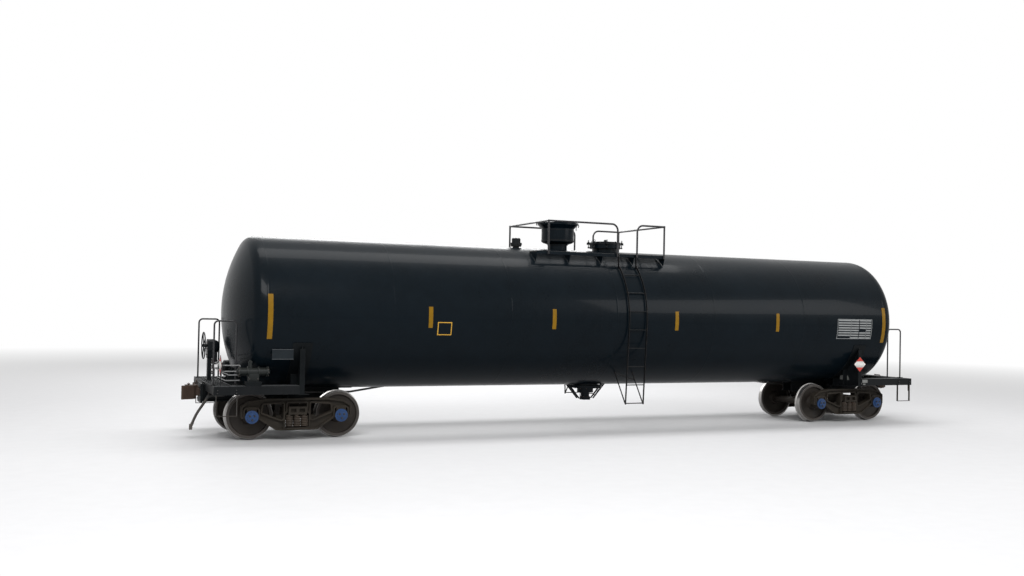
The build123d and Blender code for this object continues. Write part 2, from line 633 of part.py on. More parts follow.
def end_deck():
    """The side sills, end sill and walking surfaces at one end, each its own plate."""
    start = TRUCK_X + BOLSTER_FLANGE / 2 + SEAT
    top = DECK_TOP - DECK_THICKNESS
    bottom = SIDE_SILL_BOTTOM
    plate = SIDE_SILL_PLATE
    flange_y = SIDE_SILL_Y - SIDE_SILL_FLANGE
    inner = STRIKER_WIDTH / 2 + SEAT
    back = DECK_BACK_X
    side_sill = block(start, DECK_END_X, SIDE_SILL_Y - plate, SIDE_SILL_Y, bottom, top)
    side_sill += block(start, DECK_END_X, flange_y, SIDE_SILL_Y, top - plate, top)
    side_sill += block(start, DECK_END_X, flange_y, SIDE_SILL_Y, bottom, bottom + plate)
    end_sill = block(DECK_END_X - plate, DECK_END_X, inner, flange_y - SEAT, bottom, top)
    end_sill += block(DECK_END_X - 60, DECK_END_X, inner, flange_y - SEAT, top - plate, top)
    cross = block(back, back + 50, SILL_WIDTH / 2 + SEAT, flange_y - SEAT, top - 80, top)
    side_deck = block(start, back - SEAT, SIDE_SILL_Y - SIDE_DECK_WIDTH, SIDE_SILL_Y, top + SEAT, DECK_TOP)
    crossover = block(back, DECK_END_X, -SIDE_SILL_Y, SIDE_SILL_Y, top + SEAT, DECK_TOP)
    slots = 7
    slot_pitch = (CROSSOVER_LENGTH - 38) / slots
    for slot in range(slots):
        low = back + 30 + slot * slot_pitch
        for side in (-1, 1):
            near, far = sorted((side * 30, side * (SIDE_SILL_Y - 80)))
            crossover -= block(low, low + 26, near, far, top - 1, DECK_TOP + 1)
    solids = [crossover]
    for piece in (side_sill, end_sill, cross, side_deck):
        solids += both_sides(piece)
    return Compound(children=solids)


def sill_steps():
    """The stirrup steps at the two corners of an end."""
    outer_x = DECK_END_X - 40
    inner_x = outer_x - STEP_WIDTH
    top = SIDE_SILL_BOTTOM - SEAT
    low_y = SIDE_SILL_Y - 30 - STEP_BAR / 2
    high_y = low_y + STEP_BAR
    step = joined([
        block(outer_x - STEP_PLATE, outer_x, low_y, high_y, STEP_BOTTOM, top),
        block(inner_x, inner_x + STEP_PLATE, low_y, high_y, STEP_BOTTOM, top),
        block(inner_x, outer_x, low_y, high_y, STEP_BOTTOM, STEP_BOTTOM + STEP_PLATE),
    ])
    return Compound(children=both_sides(step))


def coupler():
    """The coupler's head and shank, reaching to the pulling face."""
    z = COUPLER_HEIGHT
    x = PULLING_X
    back = HEAD_BACK_X
    half = SHANK_WIDTH / 2
    shank = block(COUPLER_PIVOT_X - 70, back + 20, -half, half, z - SHANK_HEIGHT / 2, z + SHANK_HEIGHT / 2)
    head_outline = [
        (back, -half), (back + 60, -170), (x - 150, -190), (x - 60, -178), (x - 70, -100), (x - 130, -86),
        (x - 150, 20), (x - 120, 70), (x - 40, 105), (x + 30, 160), (x + 42, 190), (x + 10, 205),
        (x - 90, 165), (back + 60, 120), (back, half),
    ]
    outline = rounded(make_face(Polyline(*head_outline, close=True)), 9)
    head = extrude(Plane.XY.offset(z - COUPLER_HEAD_HEIGHT / 2) * outline, COUPLER_HEAD_HEIGHT)
    slot_low = z - KNUCKLE_HEIGHT / 2 - FREE
    slot_high = z + KNUCKLE_HEIGHT / 2 + FREE
    head -= block(x - 185, x + 100, -300, -60, slot_low, slot_high)
    head -= block(x - 185, x - 60, -80, 60, slot_low, slot_high)
    head += block(back - 40, back + 60, -half + 20, half - 20, z + SHANK_HEIGHT / 2 - 1, z + COUPLER_HEAD_HEIGHT / 2)
    pin_reach = COUPLER_HEAD_HEIGHT / 2 + 12
    pin = rod((KNUCKLE_PIN_X, KNUCKLE_PIN_Y, z - pin_reach), (KNUCKLE_PIN_X, KNUCKLE_PIN_Y, z + pin_reach), KNUCKLE_PIN / 2)
    return joined([shank, head, pin])


def knuckle():
    """The knuckle that closes round the mating one, about its upright pin."""
    z = COUPLER_HEIGHT
    x = PULLING_X
    outline = [
        (x - 168, -150), (x - 110, -180), (x - 40, -182), (x - 4, -150), (x, -80), (x, -20), (x - 22, 8),
        (x - 52, -4), (x - 62, -60), (x - 90, -78), (x - 150, -84), (x - 168, -100), (x - 176, -125),
    ]
    shape = rounded(make_face(Polyline(*outline, close=True)), 7)
    body = extrude(Plane.XY.offset(z - KNUCKLE_HEIGHT / 2) * shape, KNUCKLE_HEIGHT)
    bore = rod((KNUCKLE_PIN_X, KNUCKLE_PIN_Y, z - KNUCKLE_HEIGHT), (KNUCKLE_PIN_X, KNUCKLE_PIN_Y, z + KNUCKLE_HEIGHT),
               KNUCKLE_PIN / 2 + JOURNAL_FIT)
    return body - bore


def uncoupling_lever():
    """The lever that lifts the coupler's lock, along the end sill to its handle at the side."""
    x = DECK_END_X + 36
    z = SIDE_SILL_BOTTOM + 30
    handle_y = -SIDE_SILL_Y + 150
    radius = LEVER_BAR / 2
    lever = tube([(x + 6, handle_y, z - 190), (x, handle_y, z), (x, -STRIKER_WIDTH / 2 - 70, z),
                  (STRIKER_X + 30, -STRIKER_WIDTH / 2 - 20, SILL_TOP + 60), (STRIKER_X + 50, -30, SILL_TOP + 60)],
                 radius, LEVER_BEND)
    for y in (handle_y + 90, -STRIKER_WIDTH / 2 - 170):
        lever += block(DECK_END_X + SEAT, x + radius + 6, y - 9, y + 9, z - 24, z + 24)
    return lever


# Top fittings


def ring(x, outer, inner, low, high):
    """An upright ring or, with no inner diameter, a disc on the tank's top line."""
    body = Pos(x, 0, (low + high) / 2) * Cylinder(outer / 2, high - low)
    if inner > 0:
        body -= Pos(x, 0, (low + high) / 2) * Cylinder(inner / 2, high - low + 2)
    return body


def manway_nozzle():
    """The open neck that the manway cover closes."""
    floor = TANK_TOP + 40
    neck = ring(MANWAY_X, MANWAY_NECK, 0, TANK_TOP - 80, MANWAY_RIM) - TANK_CLEAR
    neck -= ring(MANWAY_X, MANWAY_NECK - 2 * MANWAY_NECK_WALL, 0, floor, MANWAY_RIM + 1)
    flange = ring(MANWAY_X, MANWAY_COVER_DIAMETER - 30, MANWAY_NECK - 1, MANWAY_RIM - MANWAY_FLANGE, MANWAY_RIM)
    return neck + flange


def manway_cover():
    """The domed cover with its lifting eye and hinge arm."""
    low = MANWAY_RIM + SEAT
    high = low + MANWAY_COVER_PLATE
    cover = ring(MANWAY_X, MANWAY_COVER_DIAMETER, 0, low, high)
    cover += ring(MANWAY_X, MANWAY_COVER_DIAMETER - 160, 0, high, high + 18)
    for index in range(MANWAY_BOLTS):
        angle = 2 * pi * (index + 0.5) / MANWAY_BOLTS
        reach = MANWAY_COVER_DIAMETER / 2 + 14
        cover += Pos(MANWAY_X + reach * cos(angle), reach * sin(angle), (low + high) / 2) * Cylinder(42, high - low)
    cover += block(MANWAY_X - 12, MANWAY_X + 12, -40, 40, high, high + MANWAY_LUG_HEIGHT)
    cover += block(MANWAY_X - MANWAY_ARM / 2, MANWAY_X + MANWAY_ARM / 2, 200, MANWAY_HINGE_Y + 16, low, high)
    cover += rod((MANWAY_X - MANWAY_ARM / 2, MANWAY_HINGE_Y, MANWAY_HINGE_Z),
                 (MANWAY_X + MANWAY_ARM / 2, MANWAY_HINGE_Y, MANWAY_HINGE_Z), MANWAY_HINGE_PIN)
    bore = rod((MANWAY_X - 100, MANWAY_HINGE_Y, MANWAY_HINGE_Z), (MANWAY_X + 100, MANWAY_HINGE_Y, MANWAY_HINGE_Z),
               MANWAY_HINGE_PIN / 2 + JOURNAL_FIT)
    return cover - bore


def manway_hinge():
    """The hinge ears and their pin beside the manway neck, on the far side."""
    y = MANWAY_HINGE_Y
    inner = MANWAY_ARM / 2 + FREE
    outer = inner + 20
    shelf = MANWAY_RIM - 48
    pieces = [block(MANWAY_X - outer, MANWAY_X + outer, MANWAY_NECK / 2 - 10, y + 30, shelf - 24, shelf)]
    for side in (-1, 1):
        low, high = sorted((MANWAY_X + side * inner, MANWAY_X + side * outer))
        pieces.append(profile_yz([(y - 40, shelf - 1), (y + 30, shelf - 1), (y + 24, MANWAY_HINGE_Z + 26),
                                  (y - 24, MANWAY_HINGE_Z + 26)], low, high))
    pieces.append(rod((MANWAY_X - outer, y, MANWAY_HINGE_Z), (MANWAY_X + outer, y, MANWAY_HINGE_Z), MANWAY_HINGE_PIN / 2))
    return pieces


def valve_housing():
    """The open protective housing with its neck, stepped base, flared rim and hinge ears."""
    radius = HOUSING_DIAMETER / 2
    lip = HOUSING_LID_DIAMETER / 2 - 14
    wall = HOUSING_WALL
    flare = HOUSING_TOP - HOUSING_FLARE
    neck = ring(HOUSING_X, HOUSING_NECK, 0, TANK_TOP - 60, HOUSING_FLOOR) - TANK_CLEAR
    outline = [
        (0, HOUSING_FLOOR - 50), (HOUSING_NECK / 2 + 20, HOUSING_FLOOR - 50), (HOUSING_NECK / 2 + 20, HOUSING_FLOOR - 30),
        (radius - 40, HOUSING_FLOOR), (radius, HOUSING_FLOOR + 26), (radius, flare), (lip, HOUSING_TOP - 24),
        (lip, HOUSING_TOP), (lip - wall, HOUSING_TOP), (radius - wall, flare + 8), (radius - wall, HOUSING_FLOOR + 30),
        (0, HOUSING_FLOOR + 30),
    ]
    bowl = Pos(HOUSING_X, 0, 0) * revolve(Plane.XZ * make_face(Polyline(*outline, close=True)), Axis.Z)
    y = LID_HINGE_Y
    inner = LID_ARM / 2 + FREE
    outer = inner + 16
    shelf = HOUSING_TOP - 24
    shelf_plate = block(HOUSING_X - outer, HOUSING_X + outer, lip - 30, y + 24, shelf - 16, shelf)
    ears = []
    for side in (-1, 1):
        low, high = sorted((HOUSING_X + side * inner, HOUSING_X + side * outer))
        ears.append(profile_yz([(y - 24, shelf - 1), (y + 24, shelf - 1), (y + 18, LID_HINGE_Z + 22),
                                (y - 18, LID_HINGE_Z + 22)], low, high))
    pin = rod((HOUSING_X - outer, y, LID_HINGE_Z), (HOUSING_X + outer, y, LID_HINGE_Z), LID_HINGE_PIN / 2)
    return joined([neck, bowl, shelf_plate, *ears, pin])


def housing_lid():
    """The flat lid of the protective housing with its rim."""
    low = HOUSING_TOP + SEAT
    lid = ring(HOUSING_X, HOUSING_LID_DIAMETER, 0, low, low + 20)
    lid += ring(HOUSING_X, HOUSING_DIAMETER - 80, 0, low + 20, low + 34)
    lid += block(HOUSING_X - LID_ARM / 2, HOUSING_X + LID_ARM / 2, 300, LID_HINGE_Y, low, low + 20)
    lid += rod((HOUSING_X - LID_ARM / 2, LID_HINGE_Y, LID_HINGE_Z), (HOUSING_X + LID_ARM / 2, LID_HINGE_Y, LID_HINGE_Z), LID_HINGE_PIN)
    bore = rod((HOUSING_X - LID_ARM, LID_HINGE_Y, LID_HINGE_Z), (HOUSING_X + LID_ARM, LID_HINGE_Y, LID_HINGE_Z),
               LID_HINGE_PIN / 2 + JOURNAL_FIT)
    return lid - bore


def housing_valves():
    """The liquid, vapour and relief valves that the housing protects."""
    floor = HOUSING_FLOOR + 30 + SEAT
    pieces = []
    for dx, dy, diameter, height in ((-190, 0, 110, 200), (120, 150, 90, 170), (120, -150, 130, 220)):
        place = Pos(HOUSING_X + dx, dy, 0)
        pieces.append(place * (Pos(0, 0, floor + 12) * Cylinder(diameter / 2 + 25, 24)
                               + Pos(0, 0, floor + height / 2) * Cylinder(diameter / 2, height)))
    return Compound(children=pieces)


def safety_valve():
    """The small relief valve near the platform's end."""
    top = TANK_TOP + SAFETY_VALVE_HEIGHT
    body = ring(SAFETY_VALVE_X, 150, 0, TANK_TOP - 40, top - 150) - TANK_CLEAR
    flange = ring(SAFETY_VALVE_X, 240, 0, top - 180, top - 150)
    bell = ring(SAFETY_VALVE_X, 265, 0, top - 150, top - 95)
    cap = ring(SAFETY_VALVE_X, 200, 0, top - 95, top)
    return joined([body, flange, bell, cap])


def bottom_outlet():
    """The outlet saucer, valve neck and cap under the tank, between its two skids."""
    low = TANK_BOTTOM - OUTLET_DEPTH
    rim = OUTLET_SAUCER / 2
    saddle = ring(OUTLET_X, OUTLET_SAUCER - 200, 0, TANK_BOTTOM - 40, TANK_BOTTOM + 50) - TANK_CLEAR
    body = joined([
        saddle,
        ring(OUTLET_X, OUTLET_SAUCER, 0, TANK_BOTTOM - 76, TANK_BOTTOM - 14),
        ring(OUTLET_X, 2 * OUTLET_NECK - 20, 0, TANK_BOTTOM - 185, TANK_BOTTOM - 75),
        ring(OUTLET_X, OUTLET_NECK, 0, low + 50, TANK_BOTTOM - 160),
        ring(OUTLET_X, OUTLET_NECK + 50, 0, low, low + 60),
    ])
    skids = []
    for side in (-1, 1):
        foot = OUTLET_X + side * (OUTLET_NECK / 2 + 60)
        top = OUTLET_X + side * (rim + 75)
        outline = [(top, TANK_BOTTOM + 40), (foot + side * 10, low + 40), (foot + side * 10, low + 28),
                   (foot + side * 40, low + 28), (top + side * 60, TANK_BOTTOM + 40)]
        for y in (-60.0, 48.0):
            skids.append(profile_xz(outline, y, y + 12) - TANK_CLEAR)
    return Compound(children=[body, *skids])


# Platform, railing and ladders


def platform_frame():
    """The edge angles, cross bearers and legs of the top platform."""
    half = PLATFORM_HALF_WIDTH
    pieces = []
    for side in (-1, 1):
        face = sorted((side * half, side * (half - ANGLE_PLATE)))
        shelf = sorted((side * half, side * (half - EDGE_ANGLE)))
        pieces.append(block(PLATFORM_LEFT, PLATFORM_RIGHT, *face, RAIL_FOOT, RAIL_FOOT + EDGE_ANGLE))
        pieces.append(block(PLATFORM_LEFT, PLATFORM_RIGHT, *shelf, RAIL_FOOT, RAIL_FOOT + ANGLE_PLATE))
    seat = PLATFORM_Z - GRATING_DEPTH
    bearers = 5
    pitch = (PLATFORM_RIGHT - PLATFORM_LEFT - ANGLE_PLATE) / (bearers - 1)
    leg = half - 90
    gusset = [(half, seat), (half, seat - 60), (leg + 20, tank_height(leg) - 60), (leg - 160, tank_height(leg - 160) - 40), (leg - 160, seat)]
    for index in range(bearers):
        x = PLATFORM_LEFT + index * pitch
        pieces.append(block(x, x + ANGLE_PLATE, -half, half, seat - 50, seat))
        pieces += both_sides(profile_yz(gusset, x, x + ANGLE_PLATE))
    return joined(pieces) - PAD_CLEAR


def platform_grating():
    """The walking bars of the platform, one panel to each side of the fittings."""
    low = PLATFORM_Z - GRATING_DEPTH + SEAT
    bar = 8.0
    count = 10
    outer = PLATFORM_HALF_WIDTH - ANGLE_PLATE - SEAT
    inner = outer - GRATING_WIDTH
    pitch = (GRATING_WIDTH - bar) / (count - 1)
    ties = 8
    tie_pitch = (PLATFORM_RIGHT - PLATFORM_LEFT - bar) / (ties - 1)
    pieces = []
    for index in range(count):
        y = inner + index * pitch
        pieces.append(block(PLATFORM_LEFT, PLATFORM_RIGHT, y, y + bar, low, PLATFORM_Z))
    for index in range(ties):
        x = PLATFORM_LEFT + index * tie_pitch
        pieces.append(block(x, x + bar, inner, outer, low, PLATFORM_Z))
    return Compound(children=both_sides(joined(pieces)))


def platform_railing():
    """The tube railing round the platform: square at the ends, bent down at the ladder gaps."""
    radius = RAIL_TUBE / 2
    y = PLATFORM_HALF_WIDTH + radius + SEAT
    rails = []
    for corner, gap in ((RAIL_LEFT, LADDER_LEFT - 24), (RAIL_RIGHT, LADDER_RIGHT + 24)):
        pieces = [rod((corner, -y, RAIL_TOP), (corner, y, RAIL_TOP), radius)]
        for side_y in (-y, y):
            pieces.append(tube([(corner, side_y, RAIL_TOP), (gap, side_y, RAIL_TOP), (gap, side_y, RAIL_FOOT)], radius, RAIL_BEND))
            pieces.append(rod((corner, side_y, RAIL_FOOT), (corner, side_y, RAIL_TOP), radius))
            pieces.append(Pos(corner, side_y, RAIL_TOP) * Sphere(radius * 1.2))
        rails.append(joined(pieces))
    return Compound(children=rails)


def ladder():
    """The near ladder: flat stiles that follow the tank down to a braced foot, with round rungs."""
    outer = TANK_RADIUS + LADDER_STAND_OFF + LADDER_BAR
    inner = TANK_RADIUS + LADDER_STAND_OFF
    face = PLATFORM_HALF_WIDTH + SEAT
    turn_z = TANK_AXIS_HEIGHT - 150
    straight_y = -sqrt(outer ** 2 - (turn_z - TANK_AXIS_HEIGHT) ** 2)
    meet_z = TANK_AXIS_HEIGHT + sqrt(outer ** 2 - (face + LADDER_BAR) ** 2)
    foot_y = -LADDER_FOOT_Y
    stiles = []
    for x in (LADDER_LEFT, LADDER_RIGHT - LADDER_PLATE):
        arc = Plane.YZ.offset(x) * (Pos(0, TANK_AXIS_HEIGHT) * (Circle(outer) - Circle(inner)))
        keep = block(x - 1, x + LADDER_PLATE + 1, -outer - 1, -face, turn_z, PLATFORM_Z)
        stile = extrude(arc, LADDER_PLATE) & keep
        leg = [(straight_y, turn_z + 1), (straight_y + LADDER_BAR, turn_z + 1),
               (foot_y + LADDER_BAR, LADDER_FOOT), (foot_y, LADDER_FOOT)]
        stile += profile_yz(leg, x, x + LADDER_PLATE)
        stile += block(x, x + LADDER_PLATE, -face - LADDER_BAR, -face, meet_z - 90, PLATFORM_Z)
        brace_z = TANK_BOTTOM + 370
        brace_y = 40 - tank_half_width(brace_z)
        brace = [(foot_y + 6, LADDER_FOOT + 4), (foot_y + LADDER_BAR, LADDER_FOOT + 4),
                 (brace_y + 35, brace_z), (brace_y, brace_z)]
        stile += profile_yz(brace, x, x + LADDER_PLATE)
        for share in (-0.06, 0.45):
            lift = share * inner
            y = -sqrt(inner ** 2 - lift ** 2)
            stile += rod((x + LADDER_PLATE / 2, y * 0.96, TANK_AXIS_HEIGHT + lift * 0.96),
                         (x + LADDER_PLATE / 2, y - 20, TANK_AXIS_HEIGHT + lift), LADDER_PLATE / 2 - 0.5)
        stiles.append(stile - TANK_CLEAR)
    rungs = []
    count = int((PLATFORM_Z - 150 - LADDER_FOOT) / RUNG_PITCH) + 1
    for index in range(count):
        z = LADDER_FOOT + 25 + index * RUNG_PITCH
        reach = outer - LADDER_BAR / 2
        if z > meet_z - 60:
            y = -face - LADDER_BAR / 2
        elif z > turn_z:
            y = -sqrt(reach ** 2 - (z - TANK_AXIS_HEIGHT) ** 2)
        else:
            share = (turn_z - z) / (turn_z - LADDER_FOOT)
            y = straight_y + LADDER_BAR / 2 + share * (foot_y - straight_y)
        rungs.append(rod((LADDER_LEFT + 2, y, z), (LADDER_RIGHT - 2, y, z), RUNG_DIAMETER / 2))
    return joined([*stiles, *rungs])


# End fittings


def end_rails(end):
    """The inverted-U handrails that stand on an end deck."""
    radius = END_RAIL_TUBE / 2
    outer_x = DECK_END_X - 30
    inner_x = outer_x - END_RAIL_WIDTH
    foot = DECK_TOP + SEAT
    top = DECK_TOP + END_RAIL_HEIGHT
    rails = []
    for y in (-END_RAIL_Y, END_RAIL_Y):
        rails.append(tube([(end * outer_x, y, foot), (end * outer_x, y, top),
                           (end * inner_x, y, top), (end * inner_x, y, foot)], radius, 80.0))
    return Compound(children=rails)


def hand_brake():
    """The upright channel and the cast gear housing of the hand brake."""
    x = BRAKE_WHEEL_X
    y = HAND_BRAKE_Y
    z = BRAKE_WHEEL_Z
    foot = DECK_TOP + SEAT
    post = block(x + 80, x + 160, y - 60, y + 60, foot, z - 150) - block(x + 92, x + 161, y - 48, y + 48, foot - 1, z - 280)
    plate = block(x + 60, x + 200, y - 100, y + 100, foot, foot + 14)
    outline = Polyline((y - 90, z - 255), (y + 90, z - 255), (y + 125, z - 90), (y + 115, z + 85), (y + 60, z + 130),
                       (y - 60, z + 130), (y - 115, z + 85), (y - 125, z - 90), close=True)
    case = extrude(Plane.YZ.offset(x + 70) * rounded(make_face(outline), 24), 130)
    return joined([post, plate, case])


def brake_wheel():
    """The hand brake's wheel, with its hub and five spokes."""
    x = BRAKE_WHEEL_X
    y = HAND_BRAKE_Y
    z = BRAKE_WHEEL_Z
    reach = BRAKE_WHEEL_DIAMETER / 2 - BRAKE_WHEEL_RIM / 2
    section = Plane.XY * (Pos(0, reach) * RegularPolygon(BRAKE_WHEEL_RIM / 2, 8))
    pieces = [Pos(x, y, z) * revolve(section, Axis.X), rod((x - 40, y, z), (x + 70 - SEAT, y, z), 32)]
    spokes = 5
    for index in range(spokes):
        angle = 2 * pi * index / spokes
        pieces.append(rod((x, y, z), (x, y + reach * cos(angle), z + reach * sin(angle)), 10))
    return joined(pieces)


def brake_valve():
    """The control valve on its pipe bracket, on the near side of the brake end."""
    x = -TRUCK_X - VALVE_AHEAD
    y = VALVE_Y
    foot = DECK_TOP + SEAT
    z = foot + 265
    half = VALVE_LENGTH / 2
    bracket = block(x - 100, x + 100, y - 70, y + 70, foot, z + 60)
    body = rod((x - half, y, z), (x + half, y, z), 78)
    pieces = [bracket, body, rod((x - 60, y, z), (x - 60, y, z + 180), 38)]
    for along in (-half, -115, 91, half - 24):
        pieces.append(rod((x + along, y, z), (x + along + 24, y, z), 100))
    return joined(pieces)


def air_reservoir():
    """The two-part air reservoir on its saddles, on the far side of the brake end."""
    x = -TRUCK_X - RESERVOIR_AHEAD
    y = RESERVOIR_Y
    foot = DECK_TOP + SEAT
    radius = RESERVOIR_DIAMETER / 2
    z = foot + radius + 20
    half = RESERVOIR_LENGTH / 2
    outline = [(-half, 0), (-half, radius - 70), (-half + 50, radius), (-12, radius), (-12, radius + 14), (12, radius + 14),
               (12, radius), (half - 50, radius), (half, radius - 70), (half, 0)]
    body = Pos(x, y, z) * revolve(make_face(Polyline(*outline, close=True)), Axis.X)
    saddles = [block(x + along - 20, x + along + 20, y - 120, y + 120, foot, z - 60) for along in (-half + 150, half - 150)]
    return joined([body, *saddles])


def train_pipe():
    """The brake pipe that runs the length of the car, with its hangers and angle cocks."""
    hose_start = Vector(*HOSE_ROUTE[0])
    run = (Vector(*HOSE_ROUTE[1]) - hose_start).normalized()
    centre = hose_start - run * COCK_LENGTH
    end = centre.X - 10
    clamp_x = [TRUCK_X + along for along in PIPE_CLAMPS]
    past_truck = clamp_x[1] + 250
    near_middle = SILL_INNER_X - 700
    line = [
        (-end, -HOSE_Y, centre.Z), (-past_truck - 150, -HOSE_Y, centre.Z), (-past_truck, -PIPE_Y, PIPE_Z),
        (-SILL_INNER_X + 200, -PIPE_Y, PIPE_Z), (-near_middle + 500, PIPE_MIDDLE_Y, PIPE_MIDDLE_Z),
        (near_middle, PIPE_MIDDLE_Y, PIPE_MIDDLE_Z), (SILL_INNER_X - 200, PIPE_Y, PIPE_Z),
        (past_truck, PIPE_Y, PIPE_Z), (past_truck + 150, HOSE_Y, centre.Z), (end, HOSE_Y, centre.Z),
    ]
    pieces = [tube(line, PIPE_DIAMETER / 2, PIPE_BEND)]
    face = SILL_WIDTH / 2 + SEAT
    reach = PIPE_Y + PIPE_DIAMETER
    for x in clamp_x:
        pieces.append(block(x - 25, x + 25, face, reach, PIPE_Z - 12, PIPE_Z + 12))
        pieces.append(block(-x - 25, -x + 25, -reach, -face, PIPE_Z - 12, PIPE_Z + 12))
    for distance in PIPE_HANGERS:
        for x in (-distance, distance):
            hanger = block(x - 20, x + 20, PIPE_MIDDLE_Y - 12, PIPE_MIDDLE_Y + 12, PIPE_MIDDLE_Z, TANK_BOTTOM + 140)
            pieces.append(hanger - TANK_CLEAR)
    cock = Pos(centre.X, centre.Y, centre.Z) * Sphere(36)
    cock += rod(tuple(centre), tuple(hose_start - run * SEAT), HOSE_DIAMETER / 2 + 4)
    cock += rod((end - 40, HOSE_Y, centre.Z), tuple(centre), PIPE_DIAMETER / 2 + 8)
    cock += rod(tuple(centre), (centre.X, centre.Y, centre.Z + 64), 14)
    return joined([*pieces, cock, turned_end(cock)])


# Air hoses


def corner_radii(points):
    """The largest tangent arc for each inner corner of a route."""
    radii = []
    for before, here, after in zip(points, points[1:], points[2:]):
        first = Vector(*here) - Vector(*before)
        second = Vector(*after) - Vector(*here)
        turn = radians(first.get_angle(second))
        shorter = min(first.length, second.length)
        radii.append(0.45 * shorter / tan(turn / 2))
    return radii


def air_hose():
    """The free hanging hose of the A end."""
    radii = corner_radii(HOSE_ROUTE)
    print("hose radii", [round(value) for value in radii])
    path = FilletPolyline(*HOSE_ROUTE, radius=radii)
    hose = sweep(Plane(origin=path @ 0, z_dir=path % 0) * Circle(HOSE_DIAMETER / 2), path=path)
    print("hose volume", round(hose.volume), "section times length", round(pi * HOSE_DIAMETER ** 2 / 4 * path.length))
    return hose


def glad_hand():
    """The hose's end fitting."""
    end = Vector(*HOSE_ROUTE[-1])
    run = (end - Vector(*HOSE_ROUTE[-2])).normalized()
    neck = rod(tuple(end), tuple(end + run * 60), 30)
    tip = end + run * 85
    head = Pos(tip.X, tip.Y, tip.Z) * Box(60, 50, 110)
    return neck + head


# Every node, by its body

ENDS = (("A", 1), ("B", -1))
nodes = {
    "tank": tank_solid(),
    "manway_nozzle": joined([manway_nozzle(), *manway_hinge()]),
    "manway_cover": manway_cover(),
    "valve_housing": valve_housing(),
    "housing_lid": housing_lid(),
    "housing_valves": housing_valves(),
    "safety_valve": safety_valve(),
    "bottom_outlet": bottom_outlet(),
    "platform_frame": platform_frame(),
    "platform_grating": platform_grating(),
    "platform_railing": platform_railing(),
    "ladder_near": ladder(),
    "ladder_far": mirror(ladder(), about=Plane.XZ),
    "hand_brake": hand_brake(),
    "brake_wheel": brake_wheel(),
    "brake_valve": brake_valve(),
    "air_reservoir": air_reservoir(),
    "train_pipe": train_pipe(),
}
SILL = stub_sill()
BOLSTER = body_bolster()
DECK = end_deck()
STEPS = sill_steps()
COUPLER = coupler()
KNUCKLE = knuckle()
LEVER = uncoupling_lever()
HOSE = air_hose()
GLAD_HAND = glad_hand()
for letter, end in ENDS:
    flip = (lambda piece: piece) if end > 0 else other_end
    turn = (lambda piece: piece) if end > 0 else turned_end
    x = end * TRUCK_X
    nodes["stub_sill_" + letter] = flip(SILL)
    nodes["body_bolster_" + letter] = flip(BOLSTER)
    nodes["end_deck_" + letter] = flip(DECK)
    nodes["sill_steps_" + letter] = flip(STEPS)
    nodes["end_rails_" + letter] = end_rails(end)
    nodes["coupler_" + letter] = turn(COUPLER)
    nodes["knuckle_" + letter] = turn(KNUCKLE)
    nodes["uncoupling_lever_" + letter] = turn(LEVER)
    nodes["air_hose_" + letter] = turn(HOSE)
    nodes["glad_hand_" + letter] = turn(GLAD_HAND)
    nodes["truck_bolster_" + letter] = truck_bolster(x)
    nodes["side_frames_" + letter] = side_frames(x)
    nodes["springs_" + letter] = springs(x)
    nodes["brake_beams_" + letter] = brake_beams(x)
    nodes["bearings_" + letter] = bearings(x)
    for number, along in ((1, -AXLE_SPACING / 2), (2, AXLE_SPACING / 2)):
        name = letter + str(number)
        nodes["wheelset_" + name] = wheelset(x + along)
        nodes["end_caps_" + name] = end_caps(x + along)

for name, shape in nodes.items():
    export_step(shape, os.path.join("parts", name + ".step"))
print(len(nodes), "nodes")
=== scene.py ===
"""The looks of a stub-sill railway tank car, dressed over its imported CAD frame."""

import logging
import math
from collections.abc import Iterator
from contextlib import contextmanager
from dataclasses import dataclass
from enum import Enum

import bpy
from mathutils import Matrix, Vector


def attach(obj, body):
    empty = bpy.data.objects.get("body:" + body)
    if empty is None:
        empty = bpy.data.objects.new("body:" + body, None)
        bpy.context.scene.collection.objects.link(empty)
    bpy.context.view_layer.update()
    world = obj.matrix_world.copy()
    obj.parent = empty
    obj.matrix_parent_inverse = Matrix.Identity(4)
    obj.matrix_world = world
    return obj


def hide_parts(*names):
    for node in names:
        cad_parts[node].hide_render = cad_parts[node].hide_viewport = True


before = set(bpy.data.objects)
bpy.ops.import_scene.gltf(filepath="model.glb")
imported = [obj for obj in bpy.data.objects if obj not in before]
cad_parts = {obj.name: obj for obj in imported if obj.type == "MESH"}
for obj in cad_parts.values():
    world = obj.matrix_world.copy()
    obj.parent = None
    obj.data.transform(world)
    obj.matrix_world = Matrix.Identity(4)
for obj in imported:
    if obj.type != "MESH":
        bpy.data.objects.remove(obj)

log = logging.getLogger("tank_car")

Point = tuple[float, float, float]
Span = tuple[float, float]
Box = tuple[float, float, float, float]
Colour = tuple[float, float, float]
Spot = tuple[Point, Point]
Piece = bpy.types.Object
Socket = bpy.types.NodeSocket

SHADER = "Principled BSDF"
QUARTER = math.pi / 2
ORIGIN, UP, DOWN = (0, 0, 0), (0, 0, 1), (0, 0, -1)
AHEAD, BACK, NEARWARD = (1, 0, 0), (-1, 0, 0), (0, -1, 0)


class End(Enum):
    """The two ends of the car, by the letter that its nodes carry and the way that they face."""

    A = 1
    B = -1


class Side(Enum):
    """The two sides of the car, by the way that they face."""

    NEAR = -1
    FAR = 1


# Shader wiring


